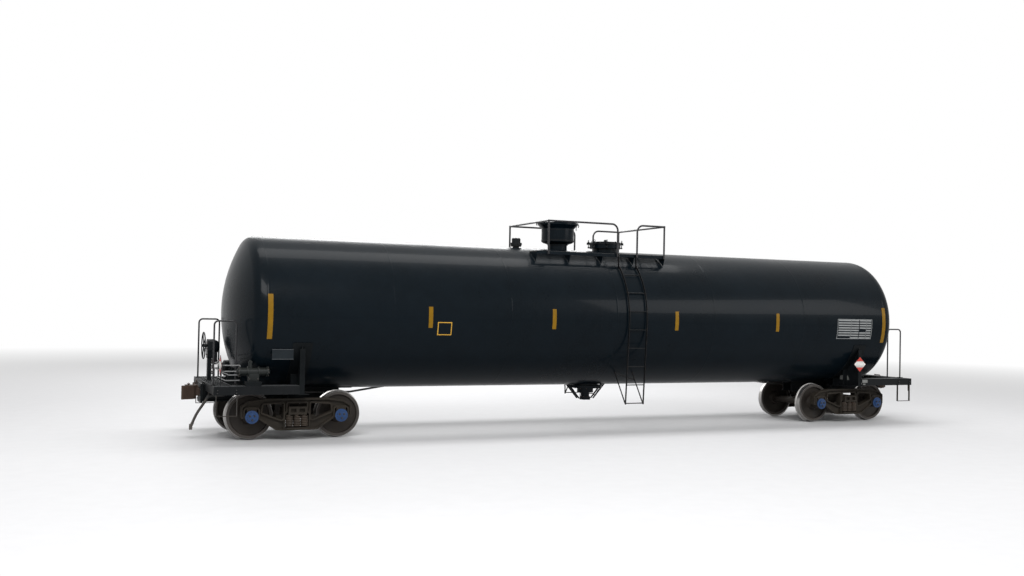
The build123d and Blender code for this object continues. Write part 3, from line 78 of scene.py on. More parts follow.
class Wiring:
    """Adds and joins the nodes of one material or node group."""

    def __init__(self, tree: bpy.types.NodeTree) -> None:
        """Takes the tree to fill."""
        self.tree = tree

    def add(self, kind: str, inputs: dict | None = None, **settings: object) -> bpy.types.Node:
        """Adds a node.

        Args:
            kind: The node's type name.
            inputs: Values or sockets for its inputs, by name or number.
            settings: The node's own settings.

        Returns:
            The new node.
        """
        node = self.tree.nodes.new(kind)
        for name, value in settings.items():
            setattr(node, name, value)
        for name, value in (inputs or {}).items():
            self.feed(node.inputs[name], value)
        return node

    def feed(self, socket: Socket, value: object) -> None:
        """Links a socket to an input, or sets the input to a plain value.

        Args:
            socket: The input to feed.
            value: A socket to link to it, or its plain value.
        """
        if isinstance(value, bpy.types.NodeSocket):
            self.tree.links.new(value, socket)
        elif isinstance(value, (tuple, list)) and socket.type == "RGBA" and len(value) == 3:
            socket.default_value = (*value, 1.0)
        else:
            socket.default_value = value

    def fill(self, node: str, values: dict[str, object]) -> None:
        """Feeds inputs of one of the tree's own nodes, by name."""
        for name, value in values.items():
            self.feed(self.tree.nodes[node].inputs[name], value)

    def calculate(self, operation: str, first: object, second: object = 0.0, clamp: bool = False) -> Socket:
        """The result of a Math node on two values or sockets."""
        node = self.add("ShaderNodeMath", {0: first, 1: second}, operation=operation, use_clamp=clamp)
        return node.outputs[0]

    def span(self, value: object, low: float, high: float, start: object = 0.0, stop: object = 1.0) -> Socket:
        """A value mapped from low..high to start..stop, and held there."""
        node = self.add("ShaderNodeMapRange", {"Value": value, 1: low, 2: high, 3: start, 4: stop})
        return node.outputs[0]

    def noise(self, vector: object, scale: object, detail: float = 4.0, roughness: float = 0.55) -> Socket:
        """A noise value on the given coordinates."""
        inputs = {"Vector": vector, "Scale": scale, "Detail": detail, "Roughness": roughness}
        return self.add("ShaderNodeTexNoise", inputs).outputs["Fac"]

    def mix(self, factor: object, first: object, second: object) -> Socket:
        """Two colours mixed by a factor.

        Args:
            factor: How much of the second colour shows.
            first: The first colour.
            second: The second colour.

        Returns:
            The mixed colour.
        """
        node = self.add("ShaderNodeMix", data_type="RGBA")
        self.feed(node.inputs[0], factor)
        self.feed(node.inputs[6], first)
        self.feed(node.inputs[7], second)
        return node.outputs[2]

    def stretched(self, vector: object, scale: Point) -> Socket:
        """Coordinates scaled apart along their three axes."""
        return self.add("ShaderNodeMapping", {"Vector": vector, "Scale": scale}).outputs[0]


class SharedEffect:
    """A shader node group with named inputs and outputs, built once."""

    def __init__(self, name: str, inputs: dict[str, object], outputs: dict[str, str]) -> None:
        """Makes the empty group.

        Args:
            name: The group's name.
            inputs: Default values by input name, or "vector" for coordinates.
            outputs: Socket kinds by output name, "value" or "colour".
        """
        self.tree = bpy.data.node_groups.new(name, "ShaderNodeTree")
        self.wiring = Wiring(self.tree)
        for label, default in inputs.items():
            kind = "NodeSocketVector" if default == "vector" else "NodeSocketFloat"
            socket = self.tree.interface.new_socket(label, in_out="INPUT", socket_type=kind)
            if default != "vector":
                socket.default_value = default
        for label, kind in outputs.items():
            socket_type = "NodeSocketColor" if kind == "colour" else "NodeSocketFloat"
            self.tree.interface.new_socket(label, in_out="OUTPUT", socket_type=socket_type)
        self.given = self.wiring.add("NodeGroupInput").outputs
        self.result = self.wiring.add("NodeGroupOutput").inputs

    def deliver(self, **results: Socket) -> None:
        """Links the group's outputs to the sockets given by name."""
        for label, socket in results.items():
            self.tree.links.new(socket, self.result[label])

    def place(self, wiring: Wiring, inputs: dict[str, object]) -> bpy.types.Node:
        """Adds this effect to a material with its own values.

        Args:
            wiring: The material's wiring.
            inputs: Values or sockets by input name.

        Returns:
            The effect's node.
        """
        node = wiring.add("ShaderNodeGroup")
        node.node_tree = self.tree
        for label, value in inputs.items():
            wiring.feed(node.inputs[label], value)
        return node


class Effects:
    """The shared surface effects of the car: tone, dust, streaks, rust, edge wear and grain."""

    def __init__(self) -> None:
        """Builds every effect once."""
        self.tone = self._tone()
        self.dust = self._dust()
        self.streaks = self._streaks()
        self.rust = self._rust()
        self.wear = self._wear()
        self.grain = self._grain()

    def _tone(self) -> SharedEffect:
        """Slow cloudy changes of tone, as on old paint.

        Returns:
            The effect.
        """
        effect = SharedEffect("cloudy_tone", {"Vector": "vector", "Scale": 1.0}, {"Tone": "value"})
        w, given = effect.wiring, effect.given
        broad = w.noise(given["Vector"], given["Scale"], 5.0, 0.6)
        fine = w.noise(given["Vector"], w.calculate("MULTIPLY", given["Scale"], 9.0), 3.0)
        both = w.calculate("ADD", w.calculate("MULTIPLY", broad, 0.75), w.calculate("MULTIPLY", fine, 0.25))
        effect.deliver(Tone=w.span(both, 0.32, 0.68))
        return effect

    def _dust(self) -> SharedEffect:
        """Road dust: thick low down and on what faces up, thin above.

        Returns:
            The effect.
        """
        inputs = {"Vector": "vector", "Top": 1.2, "Amount": 0.5, "Scale": 6.0}
        effect = SharedEffect("road_dust", inputs, {"Mask": "value"})
        w, given = effect.wiring, effect.given
        height = w.add("ShaderNodeSeparateXYZ", {0: given["Vector"]}).outputs["Z"]
        low = w.span(w.calculate("DIVIDE", height, given["Top"]), 0.0, 1.0, 1.0, 0.0)
        normal = w.add("ShaderNodeNewGeometry").outputs["Normal"]
        upward = w.span(w.add("ShaderNodeSeparateXYZ", {0: normal}).outputs["Z"], 0.35, 1.0, 0.0, 0.7)
        patchy = w.span(w.noise(given["Vector"], given["Scale"], 6.0, 0.65), 0.35, 0.7, 0.25, 1.0)
        patches = w.calculate("MULTIPLY", w.calculate("ADD", low, upward), patchy)
        effect.deliver(Mask=w.calculate("MULTIPLY", patches, given["Amount"], clamp=True))
        return effect

    def _streaks(self) -> SharedEffect:
        """Rain streaks that run straight down a wall.

        Returns:
            The effect.
        """
        inputs = {"Vector": "vector", "Width": 0.06, "Amount": 0.5}
        effect = SharedEffect("rain_streaks", inputs, {"Mask": "value"})
        w, given = effect.wiring, effect.given
        tall = w.stretched(given["Vector"], (1.0, 1.0, 0.06))
        lines = w.noise(tall, w.calculate("DIVIDE", 1.0, given["Width"]), 3.0, 0.6)
        gaps = w.noise(given["Vector"], 0.9, 2.0)
        mask = w.calculate("MULTIPLY", w.span(lines, 0.5, 0.72), w.span(gaps, 0.35, 0.65))
        effect.deliver(Mask=w.calculate("MULTIPLY", mask, given["Amount"], clamp=True))
        return effect

    def _rust(self) -> SharedEffect:
        """Rust blooms, with their own changing brown.

        Returns:
            The effect.
        """
        inputs = {"Vector": "vector", "Scale": 5.0, "Coverage": 0.3}
        effect = SharedEffect("rust_bloom", inputs, {"Mask": "value", "Colour": "colour"})
        w, given = effect.wiring, effect.given
        blooms = w.noise(given["Vector"], given["Scale"], 8.0, 0.72)
        start = w.calculate("SUBTRACT", 0.82, w.calculate("MULTIPLY", given["Coverage"], 0.62))
        mask = w.calculate("MULTIPLY", w.calculate("SUBTRACT", blooms, start), 9.0, clamp=True)
        shade = w.noise(given["Vector"], w.calculate("MULTIPLY", given["Scale"], 6.0), 4.0)
        colour = w.mix(w.span(shade, 0.3, 0.7), (0.075, 0.03, 0.016), (0.2, 0.085, 0.04))
        effect.deliver(Mask=mask, Colour=colour)
        return effect

    def _wear(self) -> SharedEffect:
        """Bare edges, found by rounding the normal, broken up by noise.

        Returns:
            The effect.
        """
        inputs = {"Vector": "vector", "Amount": 0.5}
        effect = SharedEffect("edge_wear", inputs, {"Mask": "value"})
        w, given = effect.wiring, effect.given
        rounded = w.add("ShaderNodeBevel", {"Radius": 0.006}, samples=3).outputs[0]
        flat = w.add("ShaderNodeNewGeometry").outputs["Normal"]
        along = w.add("ShaderNodeVectorMath", {0: rounded, 1: flat}, operation="DOT_PRODUCT").outputs["Value"]
        edge = w.span(along, 0.99, 0.86)
        chips = w.span(w.noise(given["Vector"], 22.0, 5.0), 0.42, 0.6)
        chipped = w.calculate("MULTIPLY", edge, chips)
        effect.deliver(Mask=w.calculate("MULTIPLY", chipped, given["Amount"], clamp=True))
        return effect

    def _grain(self) -> SharedEffect:
        """The height of a rolled, sprayed or cast skin.

        Returns:
            The effect.
        """
        inputs = {"Vector": "vector", "Scale": 60.0, "Ripple": 0.0}
        effect = SharedEffect("skin_grain", inputs, {"Height": "value"})
        w, given = effect.wiring, effect.given
        fine = w.noise(given["Vector"], given["Scale"], 4.0, 0.6)
        broad = w.calculate("MULTIPLY", w.noise(given["Vector"], 1.1, 2.0), given["Ripple"])
        effect.deliver(Height=w.calculate("ADD", fine, broad))
        return effect


# Finishes


def new_material(name: str) -> tuple[bpy.types.Material, Wiring, Socket]:
    """A new material with its wiring and its Object coordinates.

    Args:
        name: The material's name.

    Returns:
        The material, its wiring and its place.
    """
    material = bpy.data.materials.new(name)
    material.use_nodes = True
    wiring = Wiring(material.node_tree)
    return material, wiring, wiring.add("ShaderNodeTexCoord").outputs["Object"]


@dataclass(frozen=True)
class Finish:
    """A painted, cast, forged or rolled surface and its dirt, where the dirt and wear layers of some finishes also
    carry painted highlights.
    """

    slot: str
    colour: Colour
    second: Colour
    tone_scale: float = 1.5
    roughness: float = 0.5
    roughness_spread: float = 0.15
    metallic: float = 0.0
    coat: float = 0.0
    coat_roughness: float = 0.2
    grain_scale: float = 70.0
    grain_height: float = 0.0006
    ripple: float = 0.0
    dust: float = 0.4
    dust_top: float = 1.6
    dust_colour: Colour = (0.13, 0.105, 0.08)
    streaks: float = 0.0
    streak_colour: Colour = (0.16, 0.15, 0.14)
    rust: float = 0.1
    rust_scale: float = 5.0
    wear: float = 0.3
    wear_colour: Colour = (0.16, 0.1, 0.07)
    specular: float = 0.5
    stands_for: str = ""

    def build(self, effects: Effects) -> bpy.types.Material:
        """Makes the material.

        Args:
            effects: The shared effects to layer over the base.

        Returns:
            The finished material, named after the slot.
        """
        material, w, place = new_material(self.slot)
        tone = effects.tone.place(w, {"Vector": place, "Scale": self.tone_scale}).outputs["Tone"]
        colour = w.mix(tone, self.colour, self.second)
        low, high = self.roughness - self.roughness_spread, self.roughness + self.roughness_spread
        roughness = w.span(tone, 0.0, 1.0, low, high)
        if self.streaks > 0:
            streaks = effects.streaks.place(w, {"Vector": place, "Amount": self.streaks}).outputs["Mask"]
            colour = w.mix(streaks, colour, self.streak_colour)
            roughness = w.calculate("ADD", roughness, w.calculate("MULTIPLY", streaks, 0.2))
        colour, roughness, metal = self.zones(w, place, colour, roughness)
        rough_mask = None
        if self.rust > 0:
            rust = effects.rust.place(w, {"Vector": place, "Scale": self.rust_scale, "Coverage": self.rust}).outputs
            colour = w.mix(rust["Mask"], colour, rust["Colour"])
            rough_mask = rust["Mask"]
        # Edge layer: worn edges; on the frame and the deck its grey is also a painted highlight along wet edges.
        if self.wear > 0:
            wear = effects.wear.place(w, {"Vector": place, "Amount": self.wear}).outputs["Mask"]
            colour = w.mix(wear, colour, self.wear_colour)
        # Dust layer: dust low down and on upward faces; on the deck its pale grey on the top faces is also a painted
        # highlight of the wet deck.
        if self.dust > 0:
            dust_inputs = {"Vector": place, "Top": self.dust_top, "Amount": self.dust}
            dust = effects.dust.place(w, dust_inputs).outputs["Mask"]
            colour = w.mix(dust, colour, self.dust_colour)
            rough_mask = dust if rough_mask is None else w.calculate("MAXIMUM", dust, rough_mask)
        if rough_mask is not None:
            roughness = w.span(rough_mask, 0.0, 1.0, roughness, 0.92)
        grain_inputs = {"Vector": place, "Scale": self.grain_scale, "Ripple": self.ripple}
        height = effects.grain.place(w, grain_inputs).outputs["Height"]
        bump = w.add("ShaderNodeBump", {"Height": height, "Distance": self.grain_height, "Strength": 1.0})
        w.fill(SHADER, {"Base Color": colour, "Roughness": roughness, "Metallic": metal,
                        "Specular IOR Level": self.specular, "Coat Weight": self.coat,
                        "Coat Roughness": self.coat_roughness, "Normal": bump.outputs[0]})
        return material

    def zones(self, w: Wiring, place: Socket, colour: Socket, roughness: Socket) -> tuple[Socket, Socket, object]:
        """The colour, roughness and metal of the clean surface, here the same all over."""
        return colour, roughness, self.metallic


@dataclass(frozen=True)
class WheelFinish(Finish):
    """A rolled wheel: a bright tread and flange, a paler rim face that is partly scuffed and partly a painted highlight
    of the wet rim, and a dull rusty plate and hub.
    """

    truck_x: float = 6.97
    half_spacing: float = 0.889
    axle_z: float = 0.484
    tread: tuple[float, float] = (0.4465, 0.4515)
    rim: tuple[float, float] = (0.385, 0.395)
    tread_colour: Colour = (0.36, 0.35, 0.34)
    # rim_colour: the paler rim face, partly scuffed and partly a painted highlight of the wet rim.
    rim_colour: Colour = (0.05, 0.044, 0.04)

    def zones(self, w: Wiring, place: Socket, colour: Socket, roughness: Socket) -> tuple[Socket, Socket, object]:
        """Finds the distance from the nearest axle, and lays the bands out by it.

        Args:
            w: The material's wiring.
            place: Its Object coordinates.
            colour: The clean surface's colour.
            roughness: The clean surface's roughness.

        Returns:
            The colour, roughness and metal, with the bands laid in.
        """
        parts = w.add("ShaderNodeSeparateXYZ", {0: place}).outputs
        from_truck = w.calculate("SUBTRACT", w.calculate("ABSOLUTE", parts["X"]), self.truck_x)
        dx = w.calculate("SUBTRACT", w.calculate("ABSOLUTE", from_truck), self.half_spacing)
        dz = w.calculate("SUBTRACT", parts["Z"], self.axle_z)
        radius = w.calculate("SQRT", w.calculate("ADD", w.calculate("POWER", dx, 2.0), w.calculate("POWER", dz, 2.0)))
        # Noise that breaks the edge of the rim face's band, which is partly a painted highlight.
        rim_jitter = w.calculate("MULTIPLY", w.noise(place, 38.0, 3.0), 0.02)
        uneven = w.calculate("ADD", radius, w.calculate("SUBTRACT", rim_jitter, 0.01))
        rim = w.span(uneven, *self.rim)
        tread = w.span(radius, *self.tread)
        colour = w.mix(tread, w.mix(rim, colour, self.rim_colour), self.tread_colour)
        return colour, w.span(tread, 0.0, 1.0, roughness, 0.3), w.span(tread, 0.0, 1.0, self.metallic, 0.9)


@dataclass(frozen=True)
class StripeFinish:
    """Reflective sheeting with the fine cell pattern of its prisms."""

    slot: str
    colour: Colour
    cell: float = 0.004
    fading: float = 0.75
    dust_colour: Colour = (0.1, 0.075, 0.04)
    roughness: Span = (0.3, 0.45)
    specular: float = 0.15
    stands_for: str = "tank_paint"

    def build(self, effects: Effects) -> bpy.types.Material:
        """Makes the sheeting's material.

        Args:
            effects: The shared effects to layer over the base.

        Returns:
            The finished material.
        """
        material, w, place = new_material(self.slot)
        cells = w.add("ShaderNodeTexVoronoi", {"Vector": place, "Scale": 1 / self.cell}).outputs["Distance"]
        tone = effects.tone.place(w, {"Vector": place, "Scale": 7.0}).outputs["Tone"]
        colour = w.mix(tone, self.colour, tuple(channel * self.fading for channel in self.colour))
        dust = effects.dust.place(w, {"Vector": place, "Top": 2.4, "Amount": 0.35}).outputs["Mask"]
        colour = w.mix(dust, colour, self.dust_colour)
        bump = w.add("ShaderNodeBump", {"Height": cells, "Distance": 0.0004, "Strength": 0.5})
        w.fill(SHADER, {"Base Color": colour, "Roughness": w.span(tone, 0.0, 1.0, *self.roughness),
                        "Specular IOR Level": self.specular, "Normal": bump.outputs[0]})
        return material


class Palette:
    """Every finish of the car, built once and handed out by name."""

    FINISHES = (
        # tank_paint: near-black paint; the blue tint of both its colours is a painted reflection of the sky.
        Finish("tank_paint", (0.0015, 0.0038, 0.006), (0.0028, 0.0064, 0.0098), 0.5, 0.3, 0.06, coat=0.07,
               coat_roughness=0.07, grain_scale=260.0, grain_height=0.00018, ripple=3.0, dust=0.03, dust_top=1.9,
               streaks=0.1, streak_colour=(0.01, 0.012, 0.014), rust=0.0, wear=0.0, specular=0.05),
        Finish("fitting_paint", (0.003, 0.0045, 0.006), (0.007, 0.009, 0.0105), 2.0, 0.42, 0.1, coat=0.05, specular=0.1,
               dust=0.05, rust=0.05, rust_scale=7.0, wear=0.25),
        # frame_paint: the grey laid on its edges is partly worn paint and partly a painted highlight along the wet
        # edges.
        Finish("frame_paint", (0.003, 0.0042, 0.005), (0.007, 0.0085, 0.0095), 1.6, 0.5, 0.12, coat=0.02, specular=0.06,
               dust=0.04, dust_colour=(0.06, 0.06, 0.058), rust=0.07, wear=0.3, wear_colour=(0.1, 0.1, 0.1)),
        Finish("step_paint", (0.012, 0.012, 0.012), (0.022, 0.02, 0.018), 3.0, 0.55, dust=0.2, rust=0.2, wear=0.4,
               specular=0.25),
        Finish("ladder_paint", (0.004, 0.005, 0.006), (0.008, 0.009, 0.01), 2.0, 0.4, 0.1, coat=0.05, specular=0.12,
               dust=0.06, rust=0.08, wear=0.35),
        Finish("rail_steel", (0.008, 0.008, 0.01), (0.018, 0.018, 0.02), 2.0, 0.4, 0.1, coat=0.1, specular=0.3,
               dust=0.1, rust=0.1, wear=0.45, wear_colour=(0.3, 0.3, 0.3)),
        # light_rail: pale grey; on the air pipes this pale grey is a painted highlight of the bright lines along the
        # wet pipes.
        Finish("light_rail", (0.13, 0.135, 0.14), (0.2, 0.2, 0.2), 3.0, 0.45, 0.1, dust=0.2, rust=0.08, wear=0.3,
               stands_for="rail_steel"),
        # deck_paint: the pale blue-grey that the dust layer lays on the deck's top faces, and the grey of its edges,
        # are partly wear and partly a painted highlight of the wet deck.
        Finish("deck_paint", (0.004, 0.005, 0.006), (0.008, 0.009, 0.01), 3.0, 0.5, 0.12, coat=0.02, specular=0.1,
               dust=1.0, dust_top=0.1, dust_colour=(0.14, 0.145, 0.15), rust=0.05, wear=0.3,
               wear_colour=(0.1, 0.1, 0.1), stands_for="frame_paint"),
        Finish("grating_steel", (0.02, 0.02, 0.022), (0.045, 0.044, 0.042), 4.0, 0.5, metallic=0.3, rust=0.15, wear=0.5,
               wear_colour=(0.3, 0.28, 0.26)),
        Finish("valve_steel", (0.04, 0.037, 0.034), (0.08, 0.075, 0.07), 5.0, 0.5, metallic=0.5, rust=0.2, wear=0.4),
        Finish("valve_paint", (0.005, 0.007, 0.007), (0.012, 0.0145, 0.014), 5.0, 0.42, 0.1, coat=0.06, specular=0.2,
               dust=0.08, rust=0.12, wear=0.45, wear_colour=(0.2, 0.2, 0.19), stands_for="valve_steel"),
        Finish("rusty_steel", (0.035, 0.02, 0.014), (0.065, 0.04, 0.03), 4.0, 0.75, 0.1, rust=0.35, dust=0.2, wear=0.3,
               wear_colour=(0.2, 0.15, 0.12), specular=0.3),
        Finish("dark_steel", (0.012, 0.013, 0.014), (0.026, 0.026, 0.026), 5.0, 0.55, 0.1, rust=0.15, dust=0.1,
               wear=0.3, wear_colour=(0.15, 0.14, 0.13), specular=0.3, stands_for="rusty_steel"),
        Finish("rusty_casting", (0.026, 0.0155, 0.0115), (0.05, 0.03, 0.021), 3.0, 0.8, 0.1, grain_scale=45.0,
               grain_height=0.0015, rust=0.3, dust=0.2, wear=0.4, wear_colour=(0.2, 0.14, 0.11), specular=0.3),
        Finish("truck_casting", (0.011, 0.0095, 0.0075), (0.024, 0.0195, 0.015), 2.2, 0.72, 0.12, grain_scale=45.0,
               grain_height=0.0014, dust=0.2, dust_top=1.3, dust_colour=(0.085, 0.068, 0.05), rust=0.25, wear=0.35,
               wear_colour=(0.1, 0.08, 0.06), specular=0.18),
        Finish("spring_steel", (0.018, 0.014, 0.011), (0.04, 0.028, 0.02), 6.0, 0.65, dust=0.25, dust_top=1.2, rust=0.3,
               specular=0.3),
        WheelFinish("wheel_steel", (0.011, 0.009, 0.0075), (0.024, 0.0185, 0.0145), 3.0, 0.6, metallic=0.1,
                    grain_height=0.0008, dust=0.12, dust_top=0.9, dust_colour=(0.085, 0.068, 0.05), rust=0.2,
                    wear=0.2, specular=0.3),
        Finish("cap_paint", (0.004, 0.03, 0.1), (0.006, 0.045, 0.15), 6.0, 0.42, 0.1, coat=0.1, dust=0.1, dust_top=1.0,
               rust=0.1, rust_scale=12.0, wear=0.4, specular=0.3),
        Finish("hose_rubber", (0.012, 0.012, 0.012), (0.025, 0.024, 0.022), 8.0, 0.65, 0.1, grain_scale=160.0,
               dust=0.4, rust=0.0, wear=0.0),
        Finish("faded_plate", (0.11, 0.115, 0.11), (0.17, 0.175, 0.17), 5.0, 0.5, 0.1, dust=0.2, rust=0.1, wear=0.2,
               stands_for="frame_paint"),
        Finish("sign_white", (0.6, 0.6, 0.57), (0.72, 0.72, 0.69), 4.0, 0.45, 0.08, dust=0.15, rust=0.0, wear=0.0,
               stands_for="frame_paint"),
        Finish("sign_red", (0.42, 0.022, 0.012), (0.5, 0.04, 0.022), 4.0, 0.42, 0.08, dust=0.15, rust=0.0, wear=0.0,
               stands_for="frame_paint"),
        Finish("stencil_white", (0.2, 0.21, 0.21), (0.28, 0.29, 0.29), 5.0, 0.5, 0.1, dust=0.1, rust=0.0, wear=0.0,
               stands_for="tank_paint"),
        Finish("stencil_yellow", (0.5, 0.26, 0.015), (0.6, 0.34, 0.03), 5.0, 0.5, 0.1, dust=0.1, rust=0.0, wear=0.0,
               stands_for="tank_paint"),
        Finish("slate_board", (0.006, 0.0095, 0.012), (0.011, 0.0155, 0.019), 4.0, 0.5, dust=0.02, rust=0.03, wear=0.1,
               specular=0.15, stands_for="frame_paint"),
        Finish("pale_edge", (0.025, 0.03, 0.034), (0.045, 0.05, 0.056), 4.0, 0.45, dust=0.05, rust=0.05, wear=0.0,
               stands_for="frame_paint"),
    )
    STRIPE = StripeFinish("amber_sheeting", (0.24, 0.125, 0.004))

    def __init__(self) -> None:
        """Builds every material."""
        effects = Effects()
        finishes = (*self.FINISHES, self.STRIPE)
        self.materials = {finish.slot: finish.build(effects) for finish in finishes}
        self.slots = {finish.slot: finish.stands_for or finish.slot for finish in finishes}

    def dress(self, piece: Piece, finish: str) -> None:
        """Gives a piece one finish all over.

        Args:
            piece: The piece.
            finish: The finish's name.
        """
        piece.data.materials.clear()
        piece.data.materials.append(self.materials[finish])


# Modelling tools


def start_fresh() -> None:
    """Leaves edit mode and drops the selection."""
    if bpy.context.object and bpy.context.object.mode != "OBJECT":
        bpy.ops.object.mode_set(mode="OBJECT")
    bpy.ops.object.select_all(action="DESELECT")


def take(piece: Piece) -> None:
    """Selects one piece alone and makes it active.

    Args:
        piece: The piece.
    """
    start_fresh()
    piece.select_set(True)
    bpy.context.view_layer.objects.active = piece


def settle(piece: Piece, name: str) -> Piece:
    """Names a piece and moves its place, turn and scale into its mesh.

    Args:
        piece: The piece.
        name: The piece's name.

    Returns:
        The same piece.
    """
    take(piece)
    bpy.ops.object.transform_apply(location=True, rotation=True, scale=True)
    piece.name = name
    piece.data.name = name
    return piece


def applied(piece: Piece, kind: str, **settings: object) -> Piece:
    """Adds a modifier with its settings and applies it.

    Args:
        piece: The piece.
        kind: The modifier's type.
        settings: The modifier's settings.

    Returns:
        The same piece.
    """
    take(piece)
    modifier = piece.modifiers.new(kind.lower(), kind)
    for name, value in settings.items():
        setattr(modifier, name, value)
    bpy.ops.object.modifier_apply(modifier=modifier.name)
    return piece


def smooth(piece: Piece, angle: float = 35.0) -> Piece:
    """Shades a piece smooth up to an angle in degrees.

    Args:
        piece: The piece.
        angle: The angle, in degrees.

    Returns:
        The same piece.
    """
    take(piece)
    bpy.ops.object.shade_smooth_by_angle(angle=math.radians(angle))
    return piece


@contextmanager
def editing(piece: Piece) -> Iterator[None]:
    """Edit mode on one piece, all of it selected at first.

    Args:
        piece: The piece.

    Yields:
        Nothing, while the piece is in edit mode.
    """
    take(piece)
    bpy.ops.object.mode_set(mode="EDIT")
    bpy.ops.mesh.select_all(action="SELECT")
    yield
    bpy.ops.object.mode_set(mode="OBJECT")


def tidy_normals(piece: Piece) -> Piece:
    """Merges doubles and turns all faces outwards.

    Args:
        piece: The piece.

    Returns:
        The same piece.
    """
    with editing(piece):
        bpy.ops.mesh.remove_doubles(threshold=0.00001)
        bpy.ops.mesh.normals_make_consistent(inside=False)
    return piece


def cut(piece: Piece, planes: list[Spot], fill: bool = True) -> Piece:
    """Cuts away what lies beyond each plane, which is given by a point and its normal.

    Args:
        piece: The piece.
        planes: A point and the outward normal of each plane.
        fill: Whether the cuts are closed.

    Returns:
        The same piece.
    """
    with editing(piece):
        for point, normal in planes:
            bpy.ops.mesh.select_all(action="SELECT")
            bpy.ops.mesh.bisect(plane_co=point, plane_no=normal, clear_outer=True, use_fill=fill)
    return piece


def slab(name: str, low: Point, high: Point, chamfer: float = 0.002) -> Piece:
    """A rectangular bar between two corners, with its edges broken.

    Args:
        name: The piece's name.
        low: Its low corner.
        high: Its high corner.
        chamfer: How far its edges are broken.

    Returns:
        The bar.
    """
    start_fresh()
    bpy.ops.mesh.primitive_cube_add(size=1, location=(Vector(low) + Vector(high)) / 2)
    piece = bpy.context.object
    piece.scale = Vector(high) - Vector(low)
    settle(piece, name)
    with editing(piece):
        bpy.ops.mesh.bevel(offset=chamfer, segments=2, affect="EDGES")
    return piece


def turned(name: str, stations: list[Span], base: Point = ORIGIN, way: Point = UP, sides: int = 32) -> Piece:
    """A turned piece, grown ring by ring from a circle.

    Args:
        name: The piece's name.
        stations: Distance along the axis and radius of each ring, in order.
        base: Where the axis starts.
        way: Which way the axis runs.
        sides: How many sides the rings have.

    Returns:
        The closed piece, smoothed up to its corners.
    """
    start_fresh()
    distance, radius = stations[0]
    bpy.ops.mesh.primitive_circle_add(vertices=sides, radius=radius, location=(0, 0, distance), fill_type="NOTHING")
    piece = bpy.context.object
    with editing(piece):
        bpy.ops.mesh.edge_face_add()
        bpy.ops.mesh.select_mode(type="EDGE")
        for next_distance, next_radius in stations[1:]:
            bpy.ops.mesh.extrude_edges_move(TRANSFORM_OT_translate={"value": (0, 0, next_distance - distance)})
            share = next_radius / radius
            bpy.ops.transform.resize(value=(share, share, 1), center_override=(0, 0, next_distance))
            distance, radius = next_distance, next_radius
        bpy.ops.mesh.edge_face_add()
        bpy.ops.mesh.select_mode(type="VERT")
    piece.matrix_world = along(base, Vector(way).normalized())
    return smooth(tidy_normals(settle(piece, name)))


def knob(name: str, base: Point, radius: float, height: float, rim: Span, way: Point = UP, sides: int = 24) -> Piece:
    """A turned knob or plate with its top rim broken.

    Args:
        name: The piece's name.
        base: The middle of its foot.
        radius: Its radius, or that of its corners.
        height: Its height.
        rim: How far below the top and how far inside the radius the rim is broken.
        way: Which way it stands.
        sides: How many sides it has.

    Returns:
        The knob.
    """
    return turned(name, [(0.0, radius), (height - rim[0], radius), (height, radius - rim[1])], base, way, sides)


def hoop(name: str, base: Point, radius: float, width: float, rim: Span, way: Point = UP, sides: int = 24) -> Piece:
    """A turned band or round bar with both rims broken, its arguments like a knob's."""
    ends = radius - rim[1]
    return turned(name, [(0.0, ends), (rim[0], radius), (width - rim[0], radius), (width, ends)], base, way, sides)


def round_path(name: str, places: list[Point], radius: float, steps: int, sides: int) -> Piece:
    """A round NURBS curve.

    Args:
        name: The curve's name.
        places: Its control points.
        radius: The radius of its section.
        steps: How many steps each of its segments has.
        sides: The resolution of its section.

    Returns:
        The curve, with closed ends.
    """
    start_fresh()
    bpy.ops.curve.primitive_nurbs_path_add(location=ORIGIN)
    piece = bpy.context.object
    piece.name = name
    piece.data.splines.clear()
    spline = piece.data.splines.new("NURBS")
    spline.points.add(len(places) - 1)
    for control, place in zip(spline.points, places):
        control.co = (*place, 1.0)
    spline.order_u = 3
    spline.use_endpoint_u = True
    spline.resolution_u = steps
    piece.data.bevel_depth = radius
    piece.data.bevel_resolution = sides
    piece.data.use_fill_caps = True
    return piece


def bent_rod(name: str, points: list[Point], radius: float, bend: float = 0.03) -> Piece:
    """A round bar or pipe bent through points, its corners rounded.

    Args:
        name: The piece's name.
        points: The corners of its line.
        radius: The bar's radius.
        bend: How far from each corner the rounding starts.

    Returns:
        The bar as a mesh.
    """
    line = [Vector(point) for point in points]
    stops = [line[0]]
    for before, here, after in zip(line, line[1:], line[2:]):
        into, out = (before - here), (after - here)
        reach = min(bend, into.length / 2.2, out.length / 2.2)
        stops += [here + into.normalized() * reach, here, here + out.normalized() * reach]
    stops.append(line[-1])
    take(round_path(name, stops, radius, steps=5, sides=3))
    bpy.ops.object.convert(target="MESH")
    return smooth(settle(bpy.context.object, name), 50.0)


def copied(piece: Piece, turn: Matrix) -> Piece:
    """A copy of a piece with its own mesh, moved by a matrix.

    Args:
        piece: The piece.
        turn: The matrix that moves the copy.

    Returns:
        The copy.
    """
    twin = piece.copy()
    twin.data = piece.data.copy()
    bpy.context.collection.objects.link(twin)
    twin.data.transform(turn)
    if turn.determinant() < 0:
        twin.data.flip_normals()
    return twin


def placed(piece: Piece, turns: list[Matrix]) -> list[Piece]:
    """Copies of a piece modelled at the origin, one moved by each matrix, in its place.

    Args:
        piece: The piece.
        turns: A matrix for each copy.

    Returns:
        The copies.
    """
    twins = [copied(piece, turn) for turn in turns]
    bpy.data.objects.remove(piece)
    return twins


